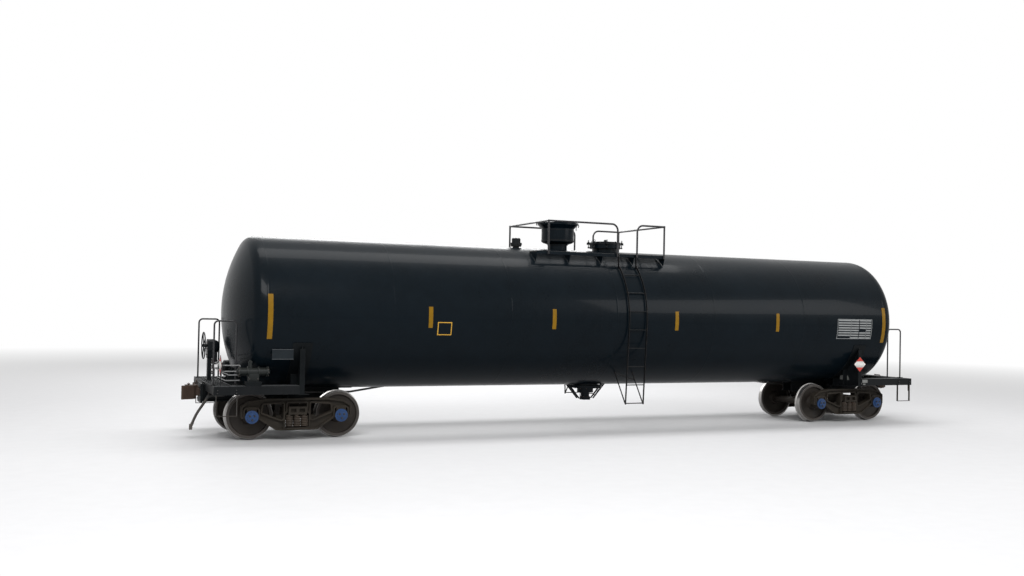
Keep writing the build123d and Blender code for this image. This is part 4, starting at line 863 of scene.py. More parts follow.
def united(name: str, pieces: list[Piece]) -> Piece:
    """Several pieces joined into one object.

    Args:
        name: The piece's name.
        pieces: The pieces to join.

    Returns:
        The joined piece.
    """
    start_fresh()
    for piece in pieces:
        piece.select_set(True)
    bpy.context.view_layer.objects.active = pieces[0]
    if len(pieces) > 1:
        bpy.ops.object.join()
    return settle(pieces[0], name)


def with_mirrored(pieces: list[Piece]) -> list[Piece]:
    """Each piece, followed by its mirror image on the car's other side."""
    across = Matrix.Diagonal((1, -1, 1, 1))
    return [twin for piece in pieces for twin in (piece, copied(piece, across))]


def half_turn(piece: Piece) -> Piece:
    """A copy of a piece turned half round, for the other end."""
    return copied(piece, Matrix.Rotation(math.pi, 4, "Z"))


def along(place: Point, way: Point) -> Matrix:
    """The matrix that stands a piece of the origin at a place, its top turned to a direction."""
    turn = Vector(UP).rotation_difference(Vector(way)).to_matrix().to_4x4()
    return Matrix.Translation(place) @ turn


def around(centre: Point, radius: float, count: int, way: Point, start: float = 0.0) -> list[Spot]:
    """Evenly spaced places on a circle about an axis.

    Args:
        centre: The circle's middle.
        radius: The circle's radius.
        count: How many places it has.
        way: The axis, which every place points along.
        start: The first place's angle in degrees.

    Returns:
        Each place and its direction.
    """
    stand = along(centre, way)
    angles = [math.radians(start) + 2 * math.pi * index / count for index in range(count)]
    return [(tuple(stand @ Vector((radius * math.cos(angle), radius * math.sin(angle), 0))), way) for angle in angles]


def hex_heads(name: str, spots: list[Spot], size: float, height: float) -> Piece:
    """Hexagon heads of bolts or nuts.

    Args:
        name: The joined piece's name.
        spots: Where each head sits and which way it points.
        size: The radius across its corners.
        height: How far it stands proud.

    Returns:
        All the heads as one piece.
    """
    head = turned("hex_head", [(0.0, size), (height * 0.8, size), (height, size * 0.82)], sides=6)
    return united(name, placed(head, [along(place, way) for place, way in spots]))


def eye(name: str, centre: Point, radius: float, bar: float, axis: Point = AHEAD, stretch: float = 1.0) -> Piece:
    """A ring or an oval link of round bar about an axis, stretched along its height.

    Args:
        name: The piece's name.
        centre: The ring's middle.
        radius: The ring's radius.
        bar: The bar's radius.
        axis: The ring's axis, along or across the car.
        stretch: How many times taller it is made.

    Returns:
        The ring.
    """
    start_fresh()
    bpy.ops.mesh.primitive_torus_add(major_radius=radius, minor_radius=bar, major_segments=16, minor_segments=8)
    piece = bpy.context.object
    with editing(piece):
        bpy.ops.transform.resize(value=(stretch, 1, 1), center_override=ORIGIN)
    turn = Matrix.Rotation(QUARTER, 4, "Y")
    if axis != AHEAD:
        turn = Matrix.Rotation(QUARTER, 4, "X") @ Matrix.Rotation(QUARTER, 4, "Z")
    piece.matrix_world = Matrix.Translation(centre) @ turn
    return smooth(settle(piece, name), 60.0)


def chain(name: str, top: Point, drop: float, link: float = 0.022, bar: float = 0.005) -> Piece:
    """A chain that hangs straight down from a point.

    Args:
        name: The piece's name.
        top: Where it hangs from.
        drop: How far it hangs down.
        link: The radius of a link before it is stretched.
        bar: The bar's radius.

    Returns:
        The chain as one piece.
    """
    x, y, z = top
    pitch = 2 * (link * 1.5 - bar)
    return united(name, [
        eye("link", (x, y, z - pitch * (index + 0.5)), link, bar, AHEAD if index % 2 else (0, 1, 0), 1.5)
        for index in range(max(1, int(drop / pitch)))])


# Camera and studio


@dataclass(frozen=True)
class PhotoCamera:
    """The camera that looks at the car as the photograph does."""

    place: Point = (-11.5692, -21.8686, 2.7013)
    yaw: float = 23.8765
    pitch: float = 1.1058
    roll: float = 1.1247
    focal_pixels: float = 1050.73
    frame_pixels: int = 1024

    def build(self) -> None:
        """Adds the camera and makes it the scene's own."""
        yaw, pitch, roll = (math.radians(angle) for angle in (self.yaw, self.pitch, self.roll))
        ahead = Vector((math.sin(yaw) * math.cos(pitch), math.cos(yaw) * math.cos(pitch), math.sin(pitch)))
        across = Vector((math.cos(yaw), -math.sin(yaw), 0))
        upward = across.cross(ahead)
        right = math.cos(roll) * across + math.sin(roll) * upward
        top = -math.sin(roll) * across + math.cos(roll) * upward
        turn = Matrix((right, top, -ahead)).transposed()
        data = bpy.data.cameras.new("photo_camera")
        data.sensor_width = 36.0
        data.lens = 36.0 * self.focal_pixels / self.frame_pixels
        data.clip_end = 400.0
        camera = bpy.data.objects.new("photo_camera", data)
        bpy.context.scene.collection.objects.link(camera)
        camera.matrix_world = Matrix.Translation(self.place) @ turn.to_4x4()
        bpy.context.scene.camera = camera


@dataclass(frozen=True)
class SoftBox:
    """One large soft lamp."""

    name: str
    place: Point
    target: Point
    size: tuple[float, float]
    power: float

    def build(self) -> None:
        """Adds the lamp, turned to its target."""
        data = bpy.data.lights.new(self.name, "AREA")
        data.shape = "RECTANGLE"
        data.size, data.size_y = self.size
        data.energy = self.power
        lamp = bpy.data.objects.new(self.name, data)
        bpy.context.scene.collection.objects.link(lamp)
        aim = (Vector(self.target) - Vector(self.place)).to_track_quat("-Z", "Y")
        lamp.matrix_world = Matrix.Translation(self.place) @ aim.to_matrix().to_4x4()


class Studio:
    """The pale floor, the white surroundings and the soft lamps."""

    FLOOR = (0.72, 0.72, 0.73)
    WORLD_LEVEL = 0.36
    LAMPS = (
        SoftBox("key_light", (-12.0, -20.0, 17.0), (0.0, 0.0, 2.0), (18.0, 8.0), 4300.0),
        SoftBox("fill_light", (16.0, -18.0, 10.0), (2.0, 0.0, 1.5), (12.0, 8.0), 1250.0),
        SoftBox("top_light", (0.0, 2.0, 19.0), (0.0, 0.0, 2.0), (24.0, 6.0), 2200.0),
        SoftBox("back_light", (2.0, 20.0, 12.0), (0.0, 0.0, 2.5), (18.0, 6.0), 1900.0),
    )

    def build(self) -> None:
        """Builds the floor, the world and the lamps."""
        self._floor()
        self._world()
        for lamp in self.LAMPS:
            lamp.build()

    def _white_to_rays(self, w: Wiring) -> Socket:
        """1 for camera, glossy and transmitted rays, and 0 for the light that falls on the car.

        Args:
            w: The wiring of the material or world.

        Returns:
            The socket of that value.
        """
        light = w.add("ShaderNodeLightPath").outputs
        seen = w.calculate("MAXIMUM", light["Is Camera Ray"], light["Is Glossy Ray"])
        return w.calculate("MAXIMUM", seen, light["Is Transmission Ray"])

    def _floor(self) -> None:
        """The floor, whose far parts fade into the white of the surroundings."""
        start_fresh()
        bpy.ops.mesh.primitive_plane_add(size=300.0, location=ORIGIN)
        floor = settle(bpy.context.object, "studio_floor")
        material, w, place = new_material("studio_floor")
        distance = w.add("ShaderNodeVectorMath", {0: place}, operation="LENGTH").outputs["Value"]
        far = w.span(distance, 14.0, 44.0)
        fine = w.span(w.noise(place, 3.0, 6.0), 0.3, 0.7)
        darker = tuple(channel * 0.97 for channel in self.FLOOR)
        w.fill(SHADER, {"Base Color": w.mix(fine, self.FLOOR, darker), "Roughness": 0.7})
        white = w.add("ShaderNodeEmission", {"Color": (1.0, 1.0, 1.0), "Strength": 1.0}).outputs[0]
        faded = w.calculate("MULTIPLY", far, self._white_to_rays(w))
        clean = w.tree.nodes[SHADER].outputs[0]
        shown = w.add("ShaderNodeMixShader", {0: faded, 1: clean, 2: white}).outputs[0]
        w.fill("Material Output", {"Surface": shown})
        floor.data.materials.append(material)

    def _world(self) -> None:
        """White to the eye and to reflections, softer as light."""
        world = bpy.data.worlds.new("studio_world")
        bpy.context.scene.world = world
        world.use_nodes = True
        w = Wiring(world.node_tree)
        strength = w.span(self._white_to_rays(w), 0.0, 1.0, self.WORLD_LEVEL, 1.0)
        w.fill("Background", {"Color": (1.0, 1.0, 1.0), "Strength": strength})


# Dressing of the CAD nodes


@dataclass(frozen=True)
class CadDress:
    """Gives every CAD node its finish, by the record's material slots."""

    palette: Palette
    instead: tuple[tuple[str, str], ...] = (
        ("end_rails", "rail_steel"), ("end_deck", "deck_paint"), ("brake_valve", "valve_paint"),
        ("train_pipe", "dark_steel"),
    )

    def build(self) -> int:
        """Swaps each slot's plain material for the finish of the same name.

        Returns:
            How many nodes were dressed.
        """
        for name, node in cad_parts.items():
            for slot in node.material_slots:
                wanted = slot.material.name.split(".")[0]
                wanted = next((finish for start, finish in self.instead if name.startswith(start)), wanted)
                slot.material = self.palette.materials[wanted]
        return len(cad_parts)


# The tank


@dataclass(frozen=True)
class TankShell:
    """The smooth shell with its two dished heads, its welds and its plain markings."""

    palette: Palette
    radius: float = 1.56
    axis_height: float = 2.52
    half_length: float = 7.695
    head_depth: float = 0.6
    knuckle: float = 0.275
    tip: float = 0.02
    arc_rings: int = 9
    sides: int = 192
    plate_sides: int = 360
    skin_gap: float = 0.0004
    seams: tuple[float, ...] = (-7.66, -5.13, -2.565, 0.0, 2.565, 5.13, 7.66)
    bead: tuple[Span, ...] = ((-0.03, 0.0), (-0.012, 0.0), (-0.004, 0.0016), (0.004, 0.0016), (0.012, 0.0), (0.03, 0.0))
    tall_strip: tuple[float, float, float] = (0.1, 2.02, 2.89)
    short_strip: tuple[float, float, float] = (0.09, 2.27, 2.7)
    strip_proud: float = 0.0022
    tall_strips: tuple[float, ...] = (-7.63, 7.63)
    short_strips: tuple[float, ...] = (-4.375, -1.56, 1.54, 4.36)
    square: Box = (-4.22, -3.91, 2.12, 2.39)
    square_line: float = 0.018
    table: Box = (6.17, 7.25, 2.11, 2.595)
    table_line: float = 0.012
    table_rows: int = 8
    table_bar: Span = (0.2, 0.74)
    table_columns: tuple[float, ...] = (0.42, 0.68, 0.9)
    empty_cells: tuple[tuple[int, int], ...] = ((0, 0), (3, 2))

    def build(self) -> list[Piece]:
        """Builds the shell and the markings of both sides.

        Returns:
            The finished pieces.
        """
        return [self._shell(), *self._both_sides("amber_strips", "amber_sheeting", self._strips()),
                *self._both_sides("yellow_square", "stencil_yellow", self._outline(self.square, self.square_line)),
                *self._both_sides("ruled_table", "stencil_white", self._ruled())]

    def _head(self) -> list[Span]:
        """Distance from the car's middle and radius of a head's rings, from its tip to its weld.

        Returns:
            The rings.
        """
        rise = self.radius - self.knuckle
        crown = (self.head_depth ** 2 + rise ** 2 - self.knuckle ** 2) / (2 * (self.head_depth - self.knuckle))
        turn = math.atan2(rise, crown - self.head_depth)
        arcs = ((self.half_length + self.head_depth - crown, 0.0, crown, 0.0, turn),
                (self.half_length, rise, self.knuckle, turn, QUARTER))
        rings = [(self.half_length + self.head_depth, self.tip)]
        for middle, lift, bend, first, last in arcs:
            for step in range(1, self.arc_rings + 1):
                angle = first + (last - first) * step / self.arc_rings
                rings.append((middle + bend * math.cos(angle), lift + bend * math.sin(angle)))
        return rings

    def _shell(self) -> Piece:
        """The shell turned about the car's long axis, standing for the CAD tank.

        Returns:
            The shell.
        """
        start = -self.half_length - self.head_depth
        left = [(-distance - start, radius) for distance, radius in self._head()]
        right = [(distance - start, radius) for distance, radius in reversed(self._head())]
        middle = [(seam + offset - start, self.radius + height) for seam in self.seams for offset, height in self.bead]
        shell = turned("tank_shell", [*left, *middle, *right], (start, 0, self.axis_height), AHEAD, self.sides)
        self.palette.dress(shell, "tank_paint")
        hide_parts("tank")
        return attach(shell, "car_body")

    def _plate(self, left: float, right: float, low: float, high: float, proud: float = 0.0012) -> Piece:
        """A thin plate bent to the shell's near side between two heights.

        Args:
            left: Its left edge along the car.
            right: Its right edge along the car.
            low: Its lower edge's height.
            high: Its upper edge's height.
            proud: How thick it is.

        Returns:
            The plate.
        """
        start_fresh()
        middle = ((left + right) / 2, 0, self.axis_height)
        bpy.ops.mesh.primitive_cylinder_add(
            vertices=self.plate_sides, radius=self.radius + self.skin_gap, depth=right - left,
            end_fill_type="NOTHING", location=middle, rotation=(0, QUARTER, 0))
        plate = settle(bpy.context.object, "bent_plate")
        cut(plate, [((0, 0, low), DOWN), ((0, 0, high), UP), ((0, -0.2, 0), (0, 1, 0))], fill=False)
        with editing(plate):
            bpy.ops.mesh.normals_make_consistent(inside=False)
        return smooth(applied(plate, "SOLIDIFY", thickness=proud, offset=1.0), 40.0)

    def _strips(self) -> list[Piece]:
        """The amber sheeting strips of the near side.

        Returns:
            The strips.
        """
        kinds = ((self.tall_strip, self.tall_strips), (self.short_strip, self.short_strips))
        return [self._plate(x - width / 2, x + width / 2, low, high, self.strip_proud)
                for (width, low, high), places in kinds for x in places]

    def _outline(self, box: Box, width: float) -> list[Piece]:
        """The four painted edges of an empty square.

        Args:
            box: The square's edges.
            width: The painted edges' width.

        Returns:
            The edges.
        """
        left, right, low, high = box
        inner_low, inner_high = low + width, high - width
        return [self._plate(left, right, inner_high, high), self._plate(left, right, low, inner_low),
                self._plate(left, left + width, inner_low, inner_high),
                self._plate(right - width, right, inner_low, inner_high)]

    def _ruled(self) -> list[Piece]:
        """An empty table: its frame, its rows and its column lines.

        Returns:
            The frame and its lines.
        """
        left, right, low, high = self.table
        line, (bar_low, bar_high) = self.table_line, self.table_bar
        row = (high - low) / self.table_rows
        breaks = (left + 0.02, *(left + x for x in self.table_columns), right - 0.02)
        rules = [self._plate(start + line, stop - line, low + row * (index + bar_low), low + row * (index + bar_high))
                 for index in range(self.table_rows) for column, (start, stop) in enumerate(zip(breaks, breaks[1:]))
                 if (index, column) not in self.empty_cells]
        columns = [self._plate(x - 0.005, x + 0.005, low + line, high - line, 0.0016) for x in (breaks[1], breaks[3])]
        return [*self._outline(self.table, line), *rules, *columns]

    def _both_sides(self, name: str, finish: str, pieces: list[Piece]) -> list[Piece]:
        """Joins the near side's markings, and copies them to the far side by a half turn.

        Args:
            name: The start of both pieces' names.
            finish: The finish's name.
            pieces: The near side's markings.

        Returns:
            The near and the far piece.
        """
        near = united(f"{name}_near", pieces)
        far = half_turn(near)
        far.name = f"{name}_far"
        for piece in (near, far):
            self.palette.dress(piece, finish)
            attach(piece, "car_body")
        return [near, far]


# Air hoses


@dataclass(frozen=True)
class AirHose:
    """The free hanging air hose of one end, with its end fitting."""

    palette: Palette
    end: End
    diameter: float = 0.054
    length: float = 0.543
    route: tuple[Point, ...] = (
        (8.61, 0.33, 0.79), (8.688, 0.33, 0.668), (8.768, 0.328, 0.548), (8.832, 0.324, 0.43), (8.874, 0.318, 0.318),
    )

    def build(self) -> list[Piece]:
        """Returns:
            The finished pieces.
        """
        facing, name = self.end.value, self.end.name
        points = [(facing * x, facing * y, z) for x, y, z in self.route]
        hose = round_path(f"air_hose_tube_{name}", points, self.diameter / 2, steps=10, sides=8)
        hose.data.materials.append(self.palette.materials["hose_rubber"])
        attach(hose, "car_body")
        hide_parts(f"air_hose_{name}")
        return [hose]


# Details of the trucks


@dataclass(frozen=True)
class Assembly:
    """Pieces that share the palette."""

    palette: Palette

    def add(self, piece: Piece, finish: str, body: str = "car_body") -> Piece:
        """Dresses a piece and lets it ride on a body."""
        self.palette.dress(piece, finish)
        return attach(piece, body)


@dataclass(frozen=True)
class TruckSprings(Assembly):
    """The wound springs of one truck, standing for its plain CAD springs."""

    end: End
    truck_x: float = 6.97
    pitch: float = 0.148
    frame_y: float = 1.003
    low: float = 0.2626
    high: float = 0.5194
    turn_steps: int = 18
    outer: tuple[float, float, float] = (0.058, 0.0148, 6.75)
    inner: tuple[float, float, float] = (0.0305, 0.0105, 8.0)

    def build(self) -> list[Piece]:
        """Winds one nest of two springs and sets it in every place.

        Returns:
            The finished pieces.
        """
        name, half = self.end.name, self.pitch / 2
        nest = united("spring_nest", [self._coil("outer_coil", *self.outer), self._coil("inner_coil", *self.inner)])
        places = [(self.end.value * self.truck_x + x, side.value * self.frame_y + y, 0.0)
                  for side in Side for x in (-self.pitch, 0.0, self.pitch) for y in (-half, half)]
        springs = united(f"coil_springs_{name}", placed(nest, [Matrix.Translation(place) for place in places]))
        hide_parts(f"springs_{name}")
        return [self.add(springs, "spring_steel", f"truck_{name}")]

    def _coil(self, name: str, reach: float, wire: float, turns: float) -> Piece:
        """One coil between the spring seats, wound from a round wire.

        Args:
            name: The piece's name.
            reach: The radius of its winding.
            wire: The wire's radius.
            turns: How many turns it has.

        Returns:
            The coil.
        """
        start_fresh()
        place = (reach, 0, self.low + wire)
        bpy.ops.mesh.primitive_circle_add(vertices=8, radius=wire, location=place, rotation=(QUARTER, 0, 0))
        coil = settle(bpy.context.object, name)
        steps = int(self.turn_steps * turns)
        applied(coil, "SCREW", angle=2 * math.pi * turns, screw_offset=self.high - self.low - 2 * wire, steps=steps,
                render_steps=steps, use_merge_vertices=False)
        with editing(coil):
            bpy.ops.mesh.fill_holes(sides=0)
        return smooth(tidy_normals(coil), 60.0)


@dataclass(frozen=True)
class AxleEnds(Assembly):
    """The cap screws and locking plates on both ends of one axle."""

    end: End
    number: int
    truck_x: float = 6.97
    half_spacing: float = 0.889
    axle_z: float = 0.484
    cap_face: float = 1.145
    plate: Span = (0.078, 0.004)
    screw_circle: float = 0.052
    screw: Span = (0.021, 0.02)

    def build(self) -> list[Piece]:
        """Builds the screws and plates of one axle.

        Returns:
            The finished pieces.
        """
        facing = self.end.value
        outward = facing if self.number == 1 else -facing
        spots, plates = [], []
        x = facing * self.truck_x - outward * self.half_spacing
        corner, thickness = self.plate
        for side in Side:
            way = (0, side.value, 0)
            centre = (x, side.value * self.cap_face, self.axle_z)
            plates.append(knob("lock_plate", centre, corner, thickness, (0.0005, 0.002), way, 6))
            head_centre = (x, side.value * (self.cap_face + thickness), self.axle_z)
            spots += around(head_centre, self.screw_circle, 3, way, 30.0)
        label = f"{self.end.name}{self.number}"
        return [self.add(united(f"cap_plates_{label}", plates), "cap_paint", f"axle_{label}"),
                self.add(hex_heads(f"cap_screws_{label}", spots, *self.screw), "dark_steel", f"axle_{label}")]


# Details of the two ends


@dataclass(frozen=True)
class EndFittings(Assembly):
    """The bolts, plates and handles of one end, built facing the front and turned for the other end."""

    end: End
    deck_top: float = 1.112
    sill_face: float = 1.478
    rail_x: Span = (8.193, 8.607)
    rail_y: float = 1.11
    foot: float = 0.055
    foot_height: float = 0.01
    foot_bolt: float = 0.036
    step_x: Span = (8.225, 8.575)
    lug: tuple[float, float, float, float] = (0.024, 0.006, 0.95, 1.07)
    lug_bolts: Span = (0.985, 1.04)
    striker_x: float = 8.72
    striker_y: float = 0.208
    striker_bolts: tuple[float, float, float] = (0.76, 0.86, 0.96)
    bolt: Span = (0.014, 0.012)
    cock: Point = (8.5766, 0.33, 0.906)
    pin: Point = (8.91, -0.125, 1.05)
    lifter: Point = (8.77, -0.05, 1.115)
    placard: Point = (8.49, 1.2, 1.5)
    side_placard: Point = (6.955, -1.466, 1.477)
    placard_half: float = 0.183
    placard_rim: float = 0.012
    placard_layers: tuple[float, float, float] = (0.008, 0.0095, 0.0107)
    white_half: float = 0.074
    labels: tuple[Box, ...] = ((7.035, 7.2, 1.018, 1.095), (7.06, 7.135, 0.965, 0.995))
    web_x: float = 6.963
    web_plate: Box = (-1.09, -0.76, 1.06, 1.17)
    web_grab: tuple[Span, Span] = ((-0.83, 1.27), (-1.08, 1.46))

    def build(self) -> list[Piece]:
        """Builds every fitting of the end.

        Returns:
            The finished pieces.
        """
        name = self.end.name
        rows = [(self._feet(), "frame_paint"), (self._bolts(), "dark_steel"), (self._step_lugs(), "frame_paint"),
                (self._cock_handle(), "rusty_steel"), (self._coupler_pin(), "rusty_steel", f"coupler_{name}"),
                (chain("lock_lifter", self.lifter, 0.06, 0.014, 0.004), "rusty_steel"),
                (self._web_plate(), "faded_plate"), (self._web_grab(), "light_rail"), *self._placards()]
        made = []
        for piece, *looks in rows:
            label = f"{piece.name}_{name}"
            if self.end is End.B:
                facing = piece
                piece = half_turn(facing)
                bpy.data.objects.remove(facing)
            piece.name = label
            made.append(self.add(piece, *looks))
        return made

    def _feet(self) -> Piece:
        """The foot plates of the handrails.

        Returns:
            The plates.
        """
        half, low, high = self.foot, self.deck_top, self.deck_top + self.foot_height
        places = [(x, side.value * self.rail_y) for x in self.rail_x for side in Side]
        return united("rail_feet", [slab("foot", (x - half, y - half, low), (x + half, y + half, high))
                                    for x, y in places])

    def _bolts(self) -> Piece:
        """The bolts of the foot plates, the step lugs and the striker.

        Returns:
            The bolts.
        """
        top, lug_face = self.deck_top + self.foot_height, self.sill_face + self.lug[1]
        spots = [((x + shift, side.value * self.rail_y + shift, top), UP)
                 for x in self.rail_x for side in Side for shift in (-self.foot_bolt, self.foot_bolt)]
        spots += [((x, side.value * lug_face, z), (0, side.value, 0))
                  for x in self.step_x for side in Side for z in self.lug_bolts]
        spots += [((self.striker_x, side.value * self.striker_y, z), AHEAD)
                  for side in Side for z in self.striker_bolts]
        return hex_heads("end_bolts", spots, *self.bolt)

    def _step_lugs(self) -> Piece:
        """The lugs that hang the sill steps from the side sills.

        Returns:
            The lugs.
        """
        half, proud, low, high = self.lug
        face = self.sill_face
        lugs = [slab("lug", (x - half, face, low), (x + half, face + proud, high), 0.001) for x in self.step_x]
        return united("step_lugs", with_mirrored(lugs))

    def _web_plate(self) -> Piece:
        """The blank builder's plate on the bolster's web, one corner cut off.

        Returns:
            The plate.
        """
        near, far, low, high = self.web_plate
        plate = slab("web_plate", (self.web_x - 0.004, near, low), (self.web_x, far, high), 0.001)
        return tidy_normals(cut(plate, [((0, near + 0.05, high), (0, -0.9, 0.5))]))

    def _web_grab(self) -> Piece:
        """The slanted grab bar on the bolster's web.

        Returns:
            The bar.
        """
        x = self.web_x
        low, high = self.web_grab
        return bent_rod("web_grab", [(x, *low), (x - 0.05, *low), (x - 0.05, *high), (x, *high)], 0.01)

    def _cock_handle(self) -> Piece:
        """The angle cock's handle.

        Returns:
            The handle.
        """
        x, y, z = self.cock
        boss = knob("boss", (x, y, z - 0.004), 0.02, 0.016, (0.004, 0.006), sides=16)
        grip = bent_rod("grip", [(x, y, z + 0.006), (x - 0.05, y, z + 0.012), (x - 0.15, y, z - 0.01)], 0.008)
        return united("cock_handle", [boss, grip])

    def _coupler_pin(self) -> Piece:
        """The knuckle pin's head with its cotter ring.

        Returns:
            The head and the ring.
        """
        x, y, z = self.pin
        head = knob("head", self.pin, 0.03, 0.014, (0.004, 0.005))
        return united("knuckle_pin_head", [head, eye("ring", (x, y + 0.02, z + 0.02), 0.014, 0.0025)])

    def _placards(self) -> list[tuple[Piece, str]]:
        """The blank warning diamonds with their holders, one facing the side and one facing the end, and two labels.

        Returns:
            Each piece with its finish.
        """
        half, (back, red, white) = self.placard_half, self.placard_layers
        outer, face = half + self.placard_rim, self.sill_face
        backs, reds, whites = [], [], []
        for centre, way in ((self.side_placard, NEARWARD), (self.placard, AHEAD)):
            backs.append(self._stood(self._diamond(outer, back), centre, way, 0.0))
            reds.append(self._stood(self._diamond(half, red - back), centre, way, back))
            whites.append(self._stood(self._band(half - 0.006, white - red), centre, way, red))
        x, y, z = self.placard
        backs.append(slab("stake", (x - 0.012, y - 0.02, self.deck_top), (x, y + 0.02, z + 0.06)))
        labels = [slab("label", (left, -face - 0.002, low), (right, -face, high), 0.0006)
                  for left, right, low, high in self.labels]
        return [(united("placard_holders", backs), "frame_paint"), (united("placard_red", reds), "sign_red"),
                (united("placard_white", whites), "sign_white"), (united("sill_labels", labels), "faded_plate")]

    def _diamond(self, half: float, thickness: float) -> Piece:
        """A square plate lying flat, its corners on the axes."""
        return knob("diamond", ORIGIN, half, thickness, (0.0006, 0.0006), sides=4)

    def _band(self, half: float, thickness: float) -> Piece:
        """The white middle band of a diamond, cut to its edges.

        Args:
            half: Half the diamond's width.
            thickness: The diamond's thickness.

        Returns:
            The band, lying flat.
        """
        plate = turned("band", [(0.0, half), (thickness, half)], sides=4)
        planes = [((0, side.value * self.white_half, 0), (0, side.value, 0)) for side in Side]
        return tidy_normals(cut(plate, planes))

    def _stood(self, plate: Piece, centre: Point, way: Point, proud: float) -> Piece:
        """Stands a flat plate up in front of a place, its face turned to the side or to the end.

        Args:
            plate: The flat plate.
            centre: The place that it stands in front of.
            way: Which way its face looks.
            proud: How far it stands in front of the place.

        Returns:
            The same plate.
        """
        upright = Matrix.Rotation(QUARTER, 4, "X")
        if way == AHEAD:
            upright = Matrix.Rotation(QUARTER, 4, "Z") @ upright
        plate.matrix_world = Matrix.Translation(Vector(centre) + Vector(way) * proud) @ upright
        return settle(plate, plate.name)


@dataclass(frozen=True)
class BrakeFittings(Assembly):
    """The pipes, bolts, chain and straps of the brake gear at the brake end."""

    valve: Point = (-7.875, -1.235, 1.377)
    valve_half: float = 0.275
    valve_bolt_circle: float = 0.086
    cover_bolts: tuple[Span, ...] = ((-0.08, 1.15), (0.08, 1.15), (-0.08, 1.24), (0.08, 1.24))
    dome: tuple[Span, ...] = ((0.0, 0.066), (0.02, 0.062), (0.038, 0.044), (0.046, 0.018))
    pipe: float = 0.012
    pipe_bend: float = 0.06
    pipe_runs: tuple[Point, ...] = ((1.385, -8.45, -0.12), (1.315, -8.34, -0.3), (1.21, -8.4, -0.2))
    pipe_foot: float = 1.1
    reservoir: Point = (-7.675, 1.273, 1.302)
    reservoir_radius: float = 0.17
    reservoir_end: float = 0.42
    strap_x: Span = (-0.275, 0.275)
    case: Point = (-8.47, 0.42, 1.77)
    case_bolts: tuple[Span, ...] = (
        (-0.095, -0.14), (0.095, -0.14), (-0.1, -0.02), (0.1, -0.02), (-0.05, 0.1), (0.05, 0.1),
    )
    cover: tuple[Span, ...] = ((0.0, 0.15), (0.05, 0.146), (0.1, 0.12), (0.13, 0.09), (0.14, 0.05))
    chain_top: Point = (-8.42, 0.42, 1.568)
    board: Box = (-7.555, -7.14, 1.62, 1.823)
    board_y: float = -1.405
    board_thickness: float = 0.008

    def build(self) -> list[Piece]:
        """Builds the brake end's small gear.

        Returns:
            The finished pieces.
        """
        # The air pipes' pale grey (light_rail) is a painted highlight of the bright lines along them.
        rows = ((self._pipes(), "light_rail"), (self._valve_bolts(), "valve_steel"), (self._plugs(), "valve_paint"),
                (self._straps(), "fitting_paint"), (self._reservoir_bolts(), "rusty_steel"),
                (chain("brake_chain", self.chain_top, 0.44), "rusty_steel"), (self._case_bolts(), "rusty_steel"),
                (self._crank(), "rusty_steel"), (self._gear_cover(), "fitting_paint"),
                (self._valve_block(), "frame_paint"), (self._board(), "slate_board"),
                (self._board_edges(), "pale_edge"))
        return [self.add(*row) for row in rows]

    def _pipes(self) -> Piece:
        """The three air pipes from the control valve down through the deck, and the one to the reservoir.

        Returns:
            The pipes.
        """
        x, y, _ = self.valve
        far_x, far_y, far_z = self.reservoir
        start, top, across = x - self.valve_half + 0.02, 1.5, -8.29
        lines = [[(start, y, z), (stop, y, z), (stop, far, z), (stop, far, self.pipe_foot)]
                 for z, stop, far in self.pipe_runs]
        lines.append([(-8.13, y, 1.43), (-8.13, y, top), (-8.45, y, top), (-8.45, -0.2, top), (across, 0.1, top),
                      (across, far_y, top), (across, far_y, far_z), (far_x - self.reservoir_end, far_y, far_z)])
        return united("air_pipes", [bent_rod("pipe", line, self.pipe, self.pipe_bend) for line in lines])

    def _valve_bolts(self) -> Piece:
        """The bolts of the valve's end flanges and covers.

        Returns:
            The bolts.
        """
        x, y, z = self.valve
        spots = []
        for facing in (-1, 1):
            centre = (x + facing * self.valve_half, y, z)
            spots += around(centre, self.valve_bolt_circle, 8, (facing, 0, 0), 10.0)
        spots += [((x + dx, y - 0.07, height), NEARWARD) for dx, height in self.cover_bolts]
        return hex_heads("valve_bolts", spots, 0.013, 0.014)

    def _plugs(self) -> Piece:
        """The domed end covers and the top plug of the control valve.

        Returns:
            The covers and the plug.
        """
        x, y, z = self.valve
        pieces = [turned("dome", [*self.dome], (x + facing * self.valve_half, y, z), (facing, 0, 0))
                  for facing in (-1, 1)]
        pieces.append(knob("plug", (x - 0.06, y, 1.557), 0.046, 0.018, (0.004, 0.006)))
        pieces.append(knob("nut", (x - 0.06, y, 1.575), 0.024, 0.024, (0.004, 0.004), sides=6))
        return united("valve_covers", pieces)

    def _straps(self) -> Piece:
        """The two straps round the reservoir and its drain.

        Returns:
            The straps and the drain.
        """
        x, y, z = self.reservoir
        radius, width = self.reservoir_radius, 0.05
        straps = [hoop("strap", (x + place - width / 2, y, z), radius + 0.004, width, (0.001, 0.003), AHEAD, 64)
                  for place in self.strap_x]
        drain = turned("drain", [(0.0, 0.012), (0.03, 0.012), (0.032, 0.02), (0.045, 0.02)],
                       (x, y, z - radius - 0.001), DOWN, 12)
        return united("reservoir_straps", [*straps, drain])

    def _reservoir_bolts(self) -> Piece:
        """The strap nuts and the flange bolts of the reservoir.

        Returns:
            The nuts and the bolts.
        """
        x, y, z = self.reservoir
        spots = [((x + place, y + dy, 1.2415), UP) for place in self.strap_x for dy in (-0.105, 0.105)]
        for facing in (-1, 1):
            spots += around((x + facing * 0.012, y, z), self.reservoir_radius + 0.007, 12, (facing, 0, 0))
        return hex_heads("reservoir_bolts", spots, 0.009, 0.01)

